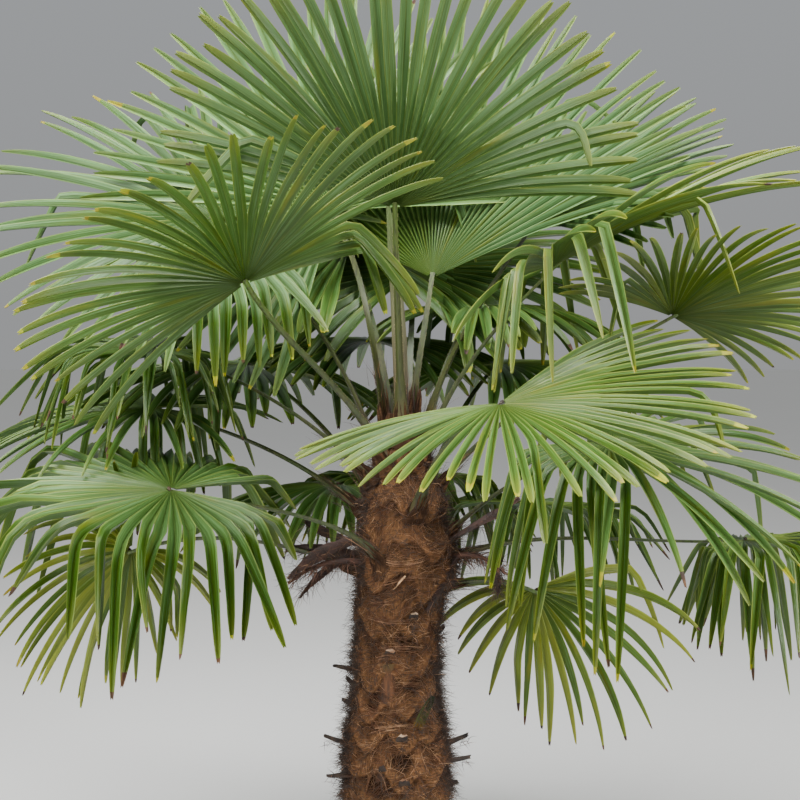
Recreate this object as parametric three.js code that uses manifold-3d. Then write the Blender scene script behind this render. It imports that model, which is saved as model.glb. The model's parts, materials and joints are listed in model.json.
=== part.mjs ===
// Windmill palm: a fibre-clad trunk with the stubs of old leaf bases, and a crown of fan-shaped
// fronds on long stalks. Millimetres, +Z up, -Y is the front. The origin is the middle of the
// flat cut at ground level.

import * as THREE from "three";
import { mergeVertices } from "three/addons/utils/BufferGeometryUtils.js";
import Module from "manifold-3d";

const wasm = await Module();
wasm.setup();

const { lerp, smoothstep, clamp, degToRad } = THREE.MathUtils;

// Driving dimensions of the trunk: height above ground, then radius or sideways lean at that height
const TRUNK_HEIGHT = 1240;
const TRUNK_RADIUS = [[0, 158], [70, 138], [200, 128], [400, 122], [600, 98], [740, 98], [890, 113],
  [1000, 98], [1110, 66], [TRUNK_HEIGHT, 30]];
const TRUNK_LEAN = [[0, 0], [600, -5], [740, 0], [890, 24], [1000, 16], [TRUNK_HEIGHT, 8]];
const TRUNK_SIDES = 14;
const TRUNK_RINGS = 16;
const SHEATH_PITCH = 120;
const SHEATH_LIP = 5;

// Every piece keeps this gap to the trunk and to its neighbours
const GAP = 0.35;
const CLEARANCE = 0.6;

// Stubs of old leaf stalks
const STUB = { width: 38, thickness: 15, sunk: 40, taper: 0.7 };
const STUB_GREEN = { azimuth: 299, height: 470, length: 96, tilt: 74 };
const STUBS_SEEN = [
  { azimuth: 5, height: 425, length: 58, tilt: 18 },
  { azimuth: 342, height: 398, length: 62, tilt: 8 },
  { azimuth: 184, height: 432, length: 56, tilt: 14 },
  { azimuth: 196, height: 366, length: 48, tilt: 4 },
  { azimuth: 182, height: 612, length: 52, tilt: 10 },
  { azimuth: 170, height: 512, length: 30, tilt: 25 },
  { azimuth: 291, height: 716, length: 26, tilt: 50 },
  { azimuth: 259, height: 620, length: 24, tilt: 50 },
  { azimuth: 276, height: 440, length: 28, tilt: 50 },
  { azimuth: 280, height: 338, length: 28, tilt: 45 },
  { azimuth: 254, height: 370, length: 26, tilt: 50 },
];
const STUBS_BEHIND = { count: 10, heights: [300, 740], azimuths: [20, 160], lengths: [28, 56],
  tilts: [5, 45] };
const STUBS_LOW = { count: 7, heights: [90, 290], lengths: [18, 42], tilts: [5, 40] };
const GOLDEN_ANGLE = 137.5;

// Stalks start inside the trunk at this share of its radius. They set off steeper than the straight
// way to the hub by lift, at most at the angle steepest, both in radians. pull is the share of
// their length over which each end keeps its direction, and rib their reach past the hub.
const ROOT_SHARE = 0.7;
const STALK = { sides: 4, steps: 7, rootRadius: 17, hubRadius: 9, rib: 14, lift: 0.3,
  steepest: 1.35, pull: 0.35 };

// The spear, a leaf still folded shut, stands on the trunk's tip. Its profile is a list of shares
// of its height, each with a share of its radius.
const SPEAR = { radius: 15, height: 520, lean: [-34, -6], sides: 6,
  profile: [[0, 1], [0.35, 1.1], [0.75, 0.8]] };

// Dead flower stalks: root azimuth and height, where the stem ends, and the number of its twigs,
// which are spread along it, to both sides of it and downwards by shares that the seed picks
const FLOWER_STALKS = [
  { name: "old_flower_stalk_left", root: [206, 868], end: [-262, -60, 838], twigs: 7, seed: 1 },
  { name: "old_flower_stalk_right", root: [352, 880], end: [255, -70, 862], twigs: 7, seed: 2 },
];
const FLOWER_STEM = { rootRadius: 13, endRadius: 5, sides: 5, steps: 5, arch: 55 };
const TWIG = { radius: 4.5, tipShare: 0.5, length: 95, sides: 3, steps: 2, sag: 19, bow: 6,
  along: [0.6, 0.97], outward: 0.7, aside: [0.4, 1], rise: [-0.9, 0.1] };

// Blades: share of the reach where the leaflets part, sizes across a leaflet, and its thickness
const LEAFLETS = 16;
const HALF_FAN = LEAFLETS / 2;
const HUB_RADIUS = 26;
const PART_SHARE = 0.42;
const LEAF_THICK = 8;
const WALK_STEP = 15;
const STRAY = { length: 0.07, angle: 0.12 };

// A free leaflet has a section at each of these shares of its length, more where it bends much, and
// its width goes from the first share of its root's width to the second
const STIFF_SECTIONS = [0.5];
const BENT_SECTIONS = [0.3, 0.66];
const MUCH_BENT = 0.6;
const WIDTHS = [0.92, 0.62];

// What a leaflet leaves out beside its neighbours when the gap between them is tested
const SHARED_STRETCH = { along: 0.35, inward: 0.12 };

// How fronds hold their leaflets, and what is different at each age. spread is the fan's whole
// angle and turn how far it is shifted round the hub, droop the bend in radians of a level leaflet,
// wing the share that leaflets outside WING_ANGLES droop more, skew the share that one side is
// longer, fold a sharp bend at foldAt of the length, cup the lift of the fan's sides, and shortest
// the share of the reach that is left to the leaflets beside the stalk. A folded frond is split at
// the bend: the fan inside it, and a skirt on each side.
const HABITS = { spread: 310, turn: 0, droop: 0.5, wing: 0, skew: 0, fold: 0, foldAt: 0.5,
  cup: 0.08, shortest: 0.7 };
const AGES = {
  young: { spread: 190, droop: 0.25, cup: 0.12 },
  open: {},
  arching: { spread: 316, droop: 0.95, cup: 0.04 },
  folded: { spread: 312, droop: 0.3, fold: 1.6, foldAt: 0.46, cup: 0 },
};
const DROOP_POWER = 0.6;
const FOLD_EASE = 0.1;
const WING_ANGLES = [1.3, 2.6];
const SKIRT_BAND = 0.08;

// Lengths and lifts that are tried in turn where a leaflet would touch something
const TRIES = [[1, 0], [1, 0.12], [1, -0.12], [1, 0.25], [1, -0.25], [0.8, 0], [0.8, 0.15],
  [0.8, -0.15], [0.62, 0], [0.62, 0.2], [0.62, -0.2], [0.45, 0]];

// Fronds that show from the front: hub is where stalk and blade meet, aim the azimuth and
// elevation of the blade's midline, roll how far the blade's right side is turned down, reach its
// longest leaflet, and root the azimuth and height where the stalk leaves the trunk
const FRONDS = [
  { name: "frond_front_left", age: "open", hub: [-334, -389, 1548], aim: [263, 37.6], roll: 27.7,
    reach: 521, root: [228, 1105], spread: 226, turn: 8, shortest: 0.95, cup: 0.11, droop: 0.37,
    wing: 0.9, skew: 0.02 },
  { name: "frond_top_front", age: "young", hub: [-7, -150, 1725], aim: [272, 62], roll: -8,
    reach: 650, root: [268, 1165], droop: 0.25, spread: 164 },
  { name: "frond_top_back_left", age: "open", hub: [-156, 120, 1730], aim: [163, 48], roll: -62,
    reach: 650, root: [148, 1170], spread: 250, droop: 0.2 },
  { name: "frond_upper_left", age: "open", hub: [-442, 60, 1711], aim: [176, 14], roll: -42,
    reach: 620, root: [180, 1110], droop: 0.3 },
  { name: "frond_top_back_right", age: "young", hub: [84, 130, 1567], aim: [70, 68], roll: 0,
    reach: 800, root: [58, 1180], spread: 134 },
  { name: "frond_upper_right_back", age: "young", hub: [343, 200, 1708], aim: [25, 42], roll: 12,
    reach: 560, root: [22, 1150] },
  { name: "frond_upper_right", age: "open", hub: [368, -100, 1594], aim: [352, 30], roll: 0,
    reach: 690, root: [340, 1125], spread: 250, droop: 0.45, cup: 0.2, wing: 0.4, shortest: 0.62 },
  { name: "frond_far_right", age: "open", hub: [665, 50, 1473], aim: [335, 20], roll: -22,
    reach: 540, root: [2, 1040], spread: 200, turn: 12, droop: 0.4, shortest: 0.62 },
  { name: "frond_front_right", age: "open", hub: [222, -428, 1287], aim: [323, -5.7], roll: 17.9,
    reach: 546, root: [286, 975], spread: 216, turn: 23, shortest: 0.92, cup: 0.135, droop: 0.28,
    skew: -0.052 },
  { name: "frond_left_folded", age: "folded", hub: [-521, -200, 1076], aim: [190, 3], roll: -15,
    reach: 760, root: [245, 822], shortest: 0.62 },
  { name: "frond_low_left", age: "arching", hub: [-657, 100, 899], aim: [200, -42], roll: 50,
    reach: 450, root: [172, 850], spread: 250, shortest: 0.85, droop: 0.8 },
  { name: "frond_mid_left", age: "folded", hub: [-587, 40, 1398], aim: [196, 0], roll: -10,
    reach: 480, root: [190, 1060], foldAt: 0.38 },
  { name: "frond_mid_left_behind", age: "open", hub: [-619, 190, 1243], aim: [170, 0], roll: -8,
    reach: 520, root: [162, 970], droop: 0.7 },
  { name: "frond_right", age: "open", hub: [495, -120, 1178], aim: [335, -8], roll: 16,
    reach: 600, root: [345, 928], spread: 300, wing: 1, skew: 0.25 },
  { name: "frond_low_right", age: "arching", hub: [335, 85, 802], aim: [346, -50], roll: -67,
    reach: 438, root: [14, 815], spread: 216, turn: -30, shortest: 0.95, cup: 0.27, droop: 1.02,
    skew: 0.07 },
  { name: "frond_right_folded", age: "folded", hub: [860, 150, 915], aim: [350, 4], roll: 0,
    reach: 600, root: [26, 872], foldAt: 0.28, shortest: 0.5 },
  { name: "frond_back_left_low", age: "arching", hub: [-150, 350, 1034], aim: [165, 0], roll: 0,
    reach: 480, root: [120, 890] },
  { name: "frond_right_behind", age: "arching", hub: [207, 250, 1500], aim: [48, 0], roll: 0,
    reach: 470, root: [54, 1050] },
];

// Fronds of the crown's far side, in tiers: each tier's fronds stand at the listed azimuths
const BACK_TIERS = [
  { name: "frond_back_upper", age: "open", azimuths: [82, 112], out: 330, height: 1590, tilt: 30,
    reach: 600, rootHeight: 1085 },
  { name: "frond_back_middle", age: "arching", azimuths: [60, 98, 138], out: 520, height: 1345,
    tilt: 4, reach: 560, rootHeight: 985 },
  { name: "frond_back_low", age: "folded", azimuths: [48, 88], out: 500, height: 985,
    tilt: -4, reach: 520, rootHeight: 870 },
];
const BACK_STEP = 60;

const FINISHES = {
  bark: { color: 0x7d4a2c, roughness: 0.95 },
  dry: { color: 0x4a3428, roughness: 0.9 },
  young: { color: 0x7f9c4a, roughness: 0.5 },
  open: { color: 0x6f8f3c, roughness: 0.5 },
  arching: { color: 0x647f38, roughness: 0.5 },
  folded: { color: 0x6c8440, roughness: 0.5 },
};

// A number in [0, 1) that is always the same for the same two whole numbers
function chance(first, second) {
  const wave = Math.sin(first * 12.9898 + second * 78.233) * 43758.5453;
  return wave - Math.floor(wave);
}

// The value of a height table at one height, smooth between its rows
function valueAt(table, height) {
  const next = Math.max(1, table.findIndex(([level]) => level >= height));
  const [low, high] = [table[next - 1], table[next]];
  return lerp(low[1], high[1], smoothstep(height, low[0], high[0]));
}

function heading(azimuth, elevation) {
  const flat = Math.cos(elevation);
  return new THREE.Vector3(flat * Math.cos(azimuth), flat * Math.sin(azimuth), Math.sin(elevation));
}

// Solids from three.js geometries and back again
function solidOf(geometry) {
  geometry.deleteAttribute("normal");
  geometry.deleteAttribute("uv");
  const merged = mergeVertices(geometry, 1e-4);
  return new wasm.Manifold(new wasm.Mesh({
    numProp: 3,
    vertProperties: new Float32Array(merged.attributes.position.array),
    triVerts: new Uint32Array(merged.index.array),
  }));
}

function geometryOf(solid) {
  const { vertProperties, triVerts } = solid.getMesh();
  const geometry = new THREE.BufferGeometry();
  geometry.setAttribute("position", new THREE.BufferAttribute(vertProperties, 3));
  geometry.setIndex(new THREE.BufferAttribute(triVerts, 1));
  geometry.computeVertexNormals();
  return geometry;
}

function joined(solids) {
  return solids.reduce((whole, piece) => whole.add(piece));
}

// The trunk, grown sideways and upwards by extra
function trunkCore(extra = 0) {
  const profile = [new THREE.Vector2(0, 0)];
  for (let ring = 0; ring <= TRUNK_RINGS; ring += 1) {
    const height = (ring / TRUNK_RINGS) * TRUNK_HEIGHT;
    const top = ring === TRUNK_RINGS ? extra : 0;
    profile.push(new THREE.Vector2(valueAt(TRUNK_RADIUS, height) + extra, height + top));
  }
  profile.push(new THREE.Vector2(0, TRUNK_HEIGHT + extra));
  const core = new THREE.LatheGeometry(profile, TRUNK_SIDES).rotateX(Math.PI / 2);
  const place = core.attributes.position;
  for (let i = 0; i < place.count; i += 1) {
    const [x, y, height] = [place.getX(i), place.getY(i), place.getZ(i)];
    const radius = Math.hypot(x, y);
    const sheath = Math.sin(2 * (Math.atan2(y, x) + (Math.PI * height) / SHEATH_PITCH));
    const grow = radius > 1 && height < TRUNK_HEIGHT ? 1 + (SHEATH_LIP * sheath) / radius : 1;
    place.setXYZ(i, x * grow + valueAt(TRUNK_LEAN, clamp(height, 0, TRUNK_HEIGHT)), y * grow, height);
  }
  return solidOf(core);
}

// One old leaf base: a flat tapering block that starts inside the trunk and tilts up
function stub({ azimuth, height, length, tilt }) {
  const whole = STUB.sunk + length;
  const block = new THREE.BoxGeometry(whole, STUB.width, STUB.thickness);
  const place = block.attributes.position;
  for (let i = 0; i < place.count; i += 1) {
    if (place.getX(i) > 0) place.setXYZ(i, place.getX(i), place.getY(i) * STUB.taper, place.getZ(i));
  }
  block.translate(whole / 2 - STUB.sunk, 0, 0);
  block.rotateY(-degToRad(tilt));
  block.translate(valueAt(TRUNK_RADIUS, height), 0, 0);
  block.rotateZ(degToRad(azimuth));
  block.translate(valueAt(TRUNK_LEAN, height), 0, height);
  return solidOf(block);
}

// A value between the two of a range, the same each time for the same two whole numbers
function within([low, high], first, second) {
  return lerp(low, high, chance(first, second));
}

function stubs() {
  const places = [...STUBS_SEEN, STUB_GREEN];
  for (let i = 0; i < STUBS_BEHIND.count; i += 1) {
    const { count, heights, azimuths, lengths, tilts } = STUBS_BEHIND;
    places.push({
      azimuth: lerp(...azimuths, (i * GOLDEN_ANGLE / 360) % 1),
      height: lerp(...heights, (i + 0.5) / count),
      length: within(lengths, i, 1),
      tilt: within(tilts, i, 2),
    });
  }
  for (let i = 0; i < STUBS_LOW.count; i += 1) {
    const { count, heights, lengths, tilts } = STUBS_LOW;
    places.push({
      azimuth: (i * GOLDEN_ANGLE) % 360,
      height: lerp(...heights, i / (count - 1)),
      length: within(lengths, i, 3),
      tilt: within(tilts, i, 4),
    });
  }
  return places.map(stub);
}

// A tube along a curve whose radius goes evenly from one end's to the other's
function taperedTube(curve, firstRadius, lastRadius, sides, steps) {
  const corners = Array.from({ length: sides }, (_, i) => {
    const turn = (i / sides) * 2 * Math.PI;
    return new THREE.Vector2(Math.cos(turn), Math.sin(turn));
  });
  const tube = new THREE.ExtrudeGeometry(new THREE.Shape(corners), {
    steps, bevelEnabled: false, extrudePath: curve,
  });
  const stations = curve.getSpacedPoints(steps);
  const place = tube.attributes.position;
  const corner = new THREE.Vector3();
  for (let i = 0; i < place.count; i += 1) {
    corner.fromBufferAttribute(place, i);
    const nearest = stations.reduce((best, station, k) =>
      (station.distanceTo(corner) < stations[best].distanceTo(corner) ? k : best), 0);
    const radius = lerp(firstRadius, lastRadius, nearest / steps);
    corner.sub(stations[nearest]).multiplyScalar(radius).add(stations[nearest]);
    place.setXYZ(i, corner.x, corner.y, corner.z);
  }
  return solidOf(tube);
}

// The point inside the trunk where a stalk starts, and the level way out from there
function rootOf([azimuth, height]) {
  const outward = heading(degToRad(azimuth), 0);
  const start = outward.clone().multiplyScalar(valueAt(TRUNK_RADIUS, height) * ROOT_SHARE);
  start.x += valueAt(TRUNK_LEAN, height);
  start.z = height;
  return { start, outward };
}

function stalkCurve(frond) {
  const { start, outward } = rootOf(frond.root);
  const end = frond.hubPoint.clone().addScaledVector(frond.along, STALK.rib);
  const chord = end.clone().sub(start);
  const length = chord.length();
  chord.normalize();
  const rise = Math.min(Math.asin(chord.z) + STALK.lift, STALK.steepest);
  const setOff = outward.clone().multiplyScalar(Math.cos(rise)).setZ(Math.sin(rise));
  const arrive = chord.clone().add(frond.along).normalize();
  return new THREE.CubicBezierCurve3(
    start,
    start.clone().addScaledVector(setOff, length * STALK.pull),
    end.clone().addScaledVector(arrive, -length * STALK.pull),
    end,
  );
}

// A frond with its age's habits and the three directions of its blade worked out
function prepared(row, index) {
  const [azimuth, elevation] = row.aim.map(degToRad);
  const along = heading(azimuth, elevation);
  const level = new THREE.Vector3().crossVectors(along, new THREE.Vector3(0, 0, 1)).normalize();
  const side = level.applyAxisAngle(along, degToRad(row.roll));
  const up = new THREE.Vector3().crossVectors(side, along);
  const frond = { ...HABITS, ...AGES[row.age], ...row, index, along, side, up };
  frond.hubPoint = new THREE.Vector3(...row.hub);
  frond.folds = frond.fold > 0;
  frond.partsAt = frond.reach * (frond.folds ? frond.foldAt : PART_SHARE);
  frond.bendsAt = frond.partsAt - frond.reach * SKIRT_BAND;
  return frond;
}

// Rows for the fronds of the far side, in the same form as FRONDS
function backFronds() {
  return BACK_TIERS.flatMap(({ azimuths, name, age, out, height, tilt, reach, rootHeight }) =>
    azimuths.map((azimuth, i) => ({
      name: `${name}_${i + 1}`,
      age,
      hub: heading(degToRad(azimuth), 0).multiplyScalar(out).setZ(height + BACK_STEP * (i % 2)).toArray(),
      aim: [azimuth, tilt],
      roll: 0,
      reach,
      root: [azimuth, rootHeight + BACK_STEP * (i % 2) / 2],
    })));
}

function leafletLength(frond, angle) {
  const whole = frond.reach * lerp(frond.shortest, 1, Math.cos(angle / 2) ** 2);
  return whole * (1 + frond.skew * Math.sin(angle));
}

// How fast a level leaflet bends down at one share of its length, in radians per whole length
function bendRate(frond, share, angle) {
  const outer = 1 + frond.wing * smoothstep(Math.abs(angle), ...WING_ANGLES);
  const droop = frond.droop * outer * (1 + DROOP_POWER) * share ** DROOP_POWER;
  const fold = smoothstep(share, frond.foldAt - FOLD_EASE, frond.foldAt) -
    smoothstep(share, frond.foldAt, frond.foldAt + FOLD_EASE);
  return droop + (frond.fold * fold) / FOLD_EASE;
}

// Walks out from the hub along a leaflet at one angle of the fan, bending down under its weight,
// and gives its frame at each stop. Past the parting it is turned up or down by lift.
function walk(frond, angle, stops, lift = 0) {
  const start = frond.along.clone().multiplyScalar(Math.cos(angle))
    .addScaledVector(frond.side, Math.sin(angle))
    .addScaledVector(frond.up, frond.cup * Math.sin(angle) ** 2).normalize();
  const across = frond.side.clone().multiplyScalar(Math.cos(angle))
    .addScaledVector(frond.along, -Math.sin(angle));
  const normal = new THREE.Vector3().crossVectors(across, start).normalize();
  across.crossVectors(start, normal);
  const azimuth = Math.atan2(start.y, start.x);
  const length = leafletLength(frond, angle);
  const { partsAt } = frond;
  const point = frond.hubPoint.clone();
  let elevation = Math.asin(start.z);
  let arc = 0;
  const frameHere = () => {
    const turn = new THREE.Quaternion().setFromUnitVectors(start, heading(azimuth, elevation));
    const up = normal.clone().applyQuaternion(turn);
    const way = heading(azimuth, elevation);
    if (arc >= partsAt) way.addScaledVector(up, lift).normalize();
    return { point: point.clone(), way, up, side: across.clone().applyQuaternion(turn) };
  };
  return stops.map((stop) => {
    while (arc < stop - 1e-6) {
      const step = Math.min(WALK_STEP, stop - arc);
      elevation -= bendRate(frond, arc / length, angle) * Math.cos(elevation) * (step / length);
      point.addScaledVector(frameHere().way, step);
      arc += step;
    }
    return frameHere();
  });
}

function angleOf(frond, place) {
  return degToRad(frond.turn + frond.spread * (place / LEAFLETS - 0.5));
}

// Rings of upper and lower points where neighbouring leaflets share their edges. The second
// skirt's rings stand a gap aside where they would share the first skirt's last edge.
function ringAt(frond, radius, aside = 0) {
  return Array.from({ length: LEAFLETS + 1 }, (_, place) => {
    const [{ point, up, side }] = walk(frond, angleOf(frond, place), [radius]);
    if (place === HALF_FAN) point.addScaledVector(side, aside);
    return { top: point, low: point.clone().addScaledVector(up, -LEAF_THICK) };
  });
}

// A closed skin made from triangles and four-cornered faces, corners anticlockwise from outside
class Skin {
  constructor() {
    this.corners = [];
  }

  face(first, ...rest) {
    for (let i = 0; i + 1 < rest.length; i += 1) this.corners.push(first, rest[i], rest[i + 1]);
  }

  solid() {
    const geometry = new THREE.BufferGeometry().setFromPoints(this.corners);
    return solidOf(geometry);
  }
}

// The joined part of one leaflet, between two rings
function addWedge(skin, inner, outer, place, open) {
  const [a, b] = [inner[place], inner[place + 1]];
  const [c, d] = [outer[place], outer[place + 1]];
  skin.face(a.top, b.top, d.top, c.top);
  skin.face(a.low, c.low, d.low, b.low);
  if (open.left) skin.face(a.low, a.top, c.top, c.low);
  if (open.right) skin.face(b.top, b.low, d.low, d.top);
  if (open.inner) skin.face(a.low, b.low, b.top, a.top);
  if (open.outer) skin.face(c.low, c.top, d.top, d.low);
}

// The free part of one leaflet: three-sided beyond the parting, with a keel below, to its point
function addBlade(skin, stations, capped) {
  const [root, ...sections] = stations;
  const point = sections.pop();
  const [first] = sections;
  skin.face(root.leftTop, root.rightTop, first.right, first.left);
  skin.face(root.leftLow, root.leftTop, first.left, first.keel);
  skin.face(root.rightTop, root.rightLow, first.keel, first.right);
  skin.face(root.rightLow, root.leftLow, first.keel);
  if (capped) skin.face(root.leftTop, root.leftLow, root.rightLow, root.rightTop);
  for (let k = 0; k + 1 < sections.length; k += 1) {
    const [near, far] = [sections[k], sections[k + 1]];
    skin.face(near.left, near.right, far.right, far.left);
    skin.face(near.keel, near.left, far.left, far.keel);
    skin.face(near.right, near.keel, far.keel, far.right);
  }
  const last = sections[sections.length - 1];
  skin.face(last.left, last.right, point.tip);
  skin.face(last.keel, last.left, point.tip);
  skin.face(last.right, last.keel, point.tip);
}

// Stations along the free part of one leaflet, for one try of its length and lift
function bladeStations(frond, ring, place, [share, lift]) {
  const stray = (chance(frond.index, place) - 0.5) * STRAY.angle * degToRad(frond.spread) / LEAFLETS;
  const angle = angleOf(frond, place + 0.5) + stray;
  const { partsAt } = frond;
  const whole = leafletLength(frond, angle) * (1 - STRAY.length * chance(place, frond.index));
  const tipAt = lerp(partsAt, whole, share);
  const shares = frond.droop + frond.fold > MUCH_BENT ? BENT_SECTIONS : STIFF_SECTIONS;
  const stops = [...shares.map((part) => lerp(partsAt, tipAt, part)), tipAt];
  const frames = walk(frond, angle, stops, lift);
  const halfWidth = ring[place].top.distanceTo(ring[place + 1].top) / 2;
  const sections = frames.slice(0, -1).map(({ point, side, up }, k) => {
    const width = halfWidth * lerp(...WIDTHS, shares[k]);
    return {
      left: point.clone().addScaledVector(side, -width),
      right: point.clone().addScaledVector(side, width),
      keel: point.clone().addScaledVector(up, -LEAF_THICK),
    };
  });
  const root = {
    leftTop: ring[place].top, leftLow: ring[place].low,
    rightTop: ring[place + 1].top, rightLow: ring[place + 1].low,
  };
  return [root, ...sections, { tip: frames[frames.length - 1].point }];
}

// The same leaflet without the stretch that it shares with its neighbours
function apartFromNeighbours(stations) {
  const [root, first, ...rest] = stations;
  const { along, inward } = SHARED_STRETCH;
  const eased = {
    leftTop: root.leftTop.clone().lerp(first.left, along),
    leftLow: root.leftLow.clone().lerp(first.keel, along),
    rightTop: root.rightTop.clone().lerp(first.right, along),
    rightLow: root.rightLow.clone().lerp(first.keel, along),
  };
  const middleTop = eased.leftTop.clone().lerp(eased.rightTop, 0.5);
  const middleLow = eased.leftLow.clone().lerp(eased.rightLow, 0.5);
  for (const corner of [eased.leftTop, eased.rightTop]) corner.lerp(middleTop, inward);
  for (const corner of [eased.leftLow, eased.rightLow]) corner.lerp(middleLow, inward);
  return [eased, first, ...rest];
}

function boxesApart(first, second, room) {
  return [0, 1, 2].some((axis) => first.min[axis] > second.max[axis] + room ||
    second.min[axis] > first.max[axis] + room);
}

// A solid with its box kept beside it, for quick tests
function boxed(solid, owner) {
  return { solid, owner, box: solid.boundingBox() };
}

function touches(piece, others) {
  return others.some((other) => !boxesApart(piece.box, other.box, CLEARANCE) &&
    piece.solid.minGap(other.solid, 1) < CLEARANCE);
}

// In each half of a folded fan, only the longest unbroken run of wedges stays
function keepLongestRuns(wedges) {
  for (const first of [0, HALF_FAN]) {
    const half = wedges.slice(first, first + HALF_FAN).map((kept) => (kept ? "x" : " ")).join("");
    const longest = half.split(" ").reduce((best, run) => (run.length > best.length ? run : best), "");
    const start = half.indexOf(longest);
    for (let i = 0; i < HALF_FAN; i += 1) {
      wedges[first + i] = i >= start && i < start + longest.length;
    }
  }
}

// Places every wedge, then every leaflet, each clear of all that stands already
function fitted(fronds, trunk, others) {
  const fixed = [boxed(trunk, null), ...others.map((solid) => boxed(solid, null))];
  const stalks = fronds.map((frond) => boxed(frond.stalk, frond));
  const wedges = [];
  for (const frond of fronds) {
    frond.parting = ringAt(frond, frond.partsAt);
    frond.partingAside = frond.folds ? ringAt(frond, frond.partsAt, GAP) : frond.parting;
    const rings = [ringAt(frond, HUB_RADIUS), frond.parting];
    if (frond.folds) rings.splice(1, 0, ringAt(frond, frond.bendsAt));
    const strangers = [...stalks.filter(({ owner }) => owner !== frond), ...fixed, ...wedges];
    const own = stalks.filter(({ owner }) => owner === frond);
    const mine = [];
    for (let place = 0; place < LEAFLETS; place += 1) {
      mine[place] = rings.slice(1).map((outer, k) => {
        const skin = new Skin();
        addWedge(skin, rings[k], outer, place, { left: true, right: true, inner: true, outer: true });
        return boxed(skin.solid(), frond);
      });
    }
    frond.wedges = mine.map((pieces) => !pieces.some((wedge, k) =>
      touches(wedge, k > 0 ? [...strangers, ...own] : strangers)));
    if (frond.folds) keepLongestRuns(frond.wedges);
    wedges.push(...mine.filter((_, place) => frond.wedges[place]).flat());
  }
  const leaflets = [];
  for (const frond of fronds) {
    frond.blades = [];
    for (let place = 0; place < LEAFLETS; place += 1) {
      if (!frond.wedges[place]) continue;
      const strangers = [...fixed, ...[...stalks, ...wedges, ...leaflets]
        .filter(({ owner }) => owner !== frond)];
      if (frond.folds) strangers.push(...stalks.filter(({ owner }) => owner === frond));
      const parting = place < HALF_FAN ? frond.parting : frond.partingAside;
      const family = leaflets.filter(({ owner }) => owner === frond);
      for (const attempt of TRIES) {
        const stations = bladeStations(frond, parting, place, attempt);
        const whole = new Skin();
        addBlade(whole, stations, true);
        const piece = boxed(whole.solid(), frond);
        if (touches(piece, strangers)) continue;
        const eased = new Skin();
        addBlade(eased, apartFromNeighbours(stations), true);
        const alone = boxed(eased.solid(), frond);
        if (touches(alone, family.map(({ apart }) => apart))) continue;
        leaflets.push({ ...piece, apart: alone });
        frond.blades[place] = stations;
        break;
      }
    }
  }
}

// The disc round the hub that every wedge grows from
function addHub(skin, frond, hub) {
  const [middle] = walk(frond, 0, [0]);
  const middleLow = middle.point.clone().addScaledVector(middle.up, -LEAF_THICK);
  for (let place = 0; place < LEAFLETS; place += 1) {
    const [a, b] = [hub[place], hub[place + 1]];
    skin.face(middle.point, b.top, a.top);
    skin.face(middleLow, a.low, b.low);
    if (!frond.wedges[place]) skin.face(a.top, b.top, b.low, a.low);
  }
  const [first, last] = [hub[0], hub[LEAFLETS]];
  skin.face(middle.point, first.top, last.top);
  skin.face(middleLow, last.low, first.low);
  skin.face(first.top, first.low, last.low, last.top);
}

// The sheet of one blade from ring to ring, over the places from first up to last, with its free
// leaflets if it has them
function sheet(frond, inner, outer, { first, last, hub, leaflets }) {
  const skin = new Skin();
  if (hub) addHub(skin, frond, inner);
  for (let place = first; place < last; place += 1) {
    if (!frond.wedges[place]) continue;
    const blade = leaflets && frond.blades[place];
    addWedge(skin, inner, outer, place, {
      left: place === first || !frond.wedges[place - 1],
      right: place + 1 === last || !frond.wedges[place + 1],
      inner: !hub,
      outer: !blade,
    });
    if (blade) addBlade(skin, blade, false);
  }
  return skin.solid();
}

// The solids of one frond by name: one whole, or a fan and two skirts split at the bend
function frondSolids(frond) {
  const hub = ringAt(frond, HUB_RADIUS);
  const whole = { first: 0, last: LEAFLETS, hub: true };
  if (!frond.folds) {
    const blade = sheet(frond, hub, frond.parting, { ...whole, leaflets: true });
    return { [frond.name]: blade.add(frond.stalk) };
  }
  const fan = sheet(frond, hub, ringAt(frond, frond.bendsAt), { ...whole, leaflets: false });
  const skirts = { first: 0, last: HALF_FAN, hub: false, leaflets: true };
  const others = { ...skirts, first: HALF_FAN, last: LEAFLETS };
  const bend = frond.bendsAt + GAP;
  return {
    [frond.name]: fan.add(frond.stalk),
    [`${frond.name}_skirt_1`]: sheet(frond, ringAt(frond, bend), frond.parting, skirts),
    [`${frond.name}_skirt_2`]: sheet(frond, ringAt(frond, bend, GAP), frond.partingAside, others),
  };
}

// The folded spear leaf, standing on the trunk's tip and leaning more towards its point
function spear() {
  const { radius, height, lean, sides, profile } = SPEAR;
  const turned = [[0, 0], ...profile.map(([up, out]) => [out * radius, up * height]), [0, height]]
    .map(([out, up]) => new THREE.Vector2(out, up));
  const blade = new THREE.LatheGeometry(turned, sides).rotateX(Math.PI / 2);
  const place = blade.attributes.position;
  for (let i = 0; i < place.count; i += 1) {
    const share = place.getZ(i) / height;
    place.setXY(i, place.getX(i) + lean[0] * share ** 2, place.getY(i) + lean[1] * share ** 2);
  }
  blade.translate(valueAt(TRUNK_LEAN, TRUNK_HEIGHT), 0, TRUNK_HEIGHT + GAP);
  return solidOf(blade);
}

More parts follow.
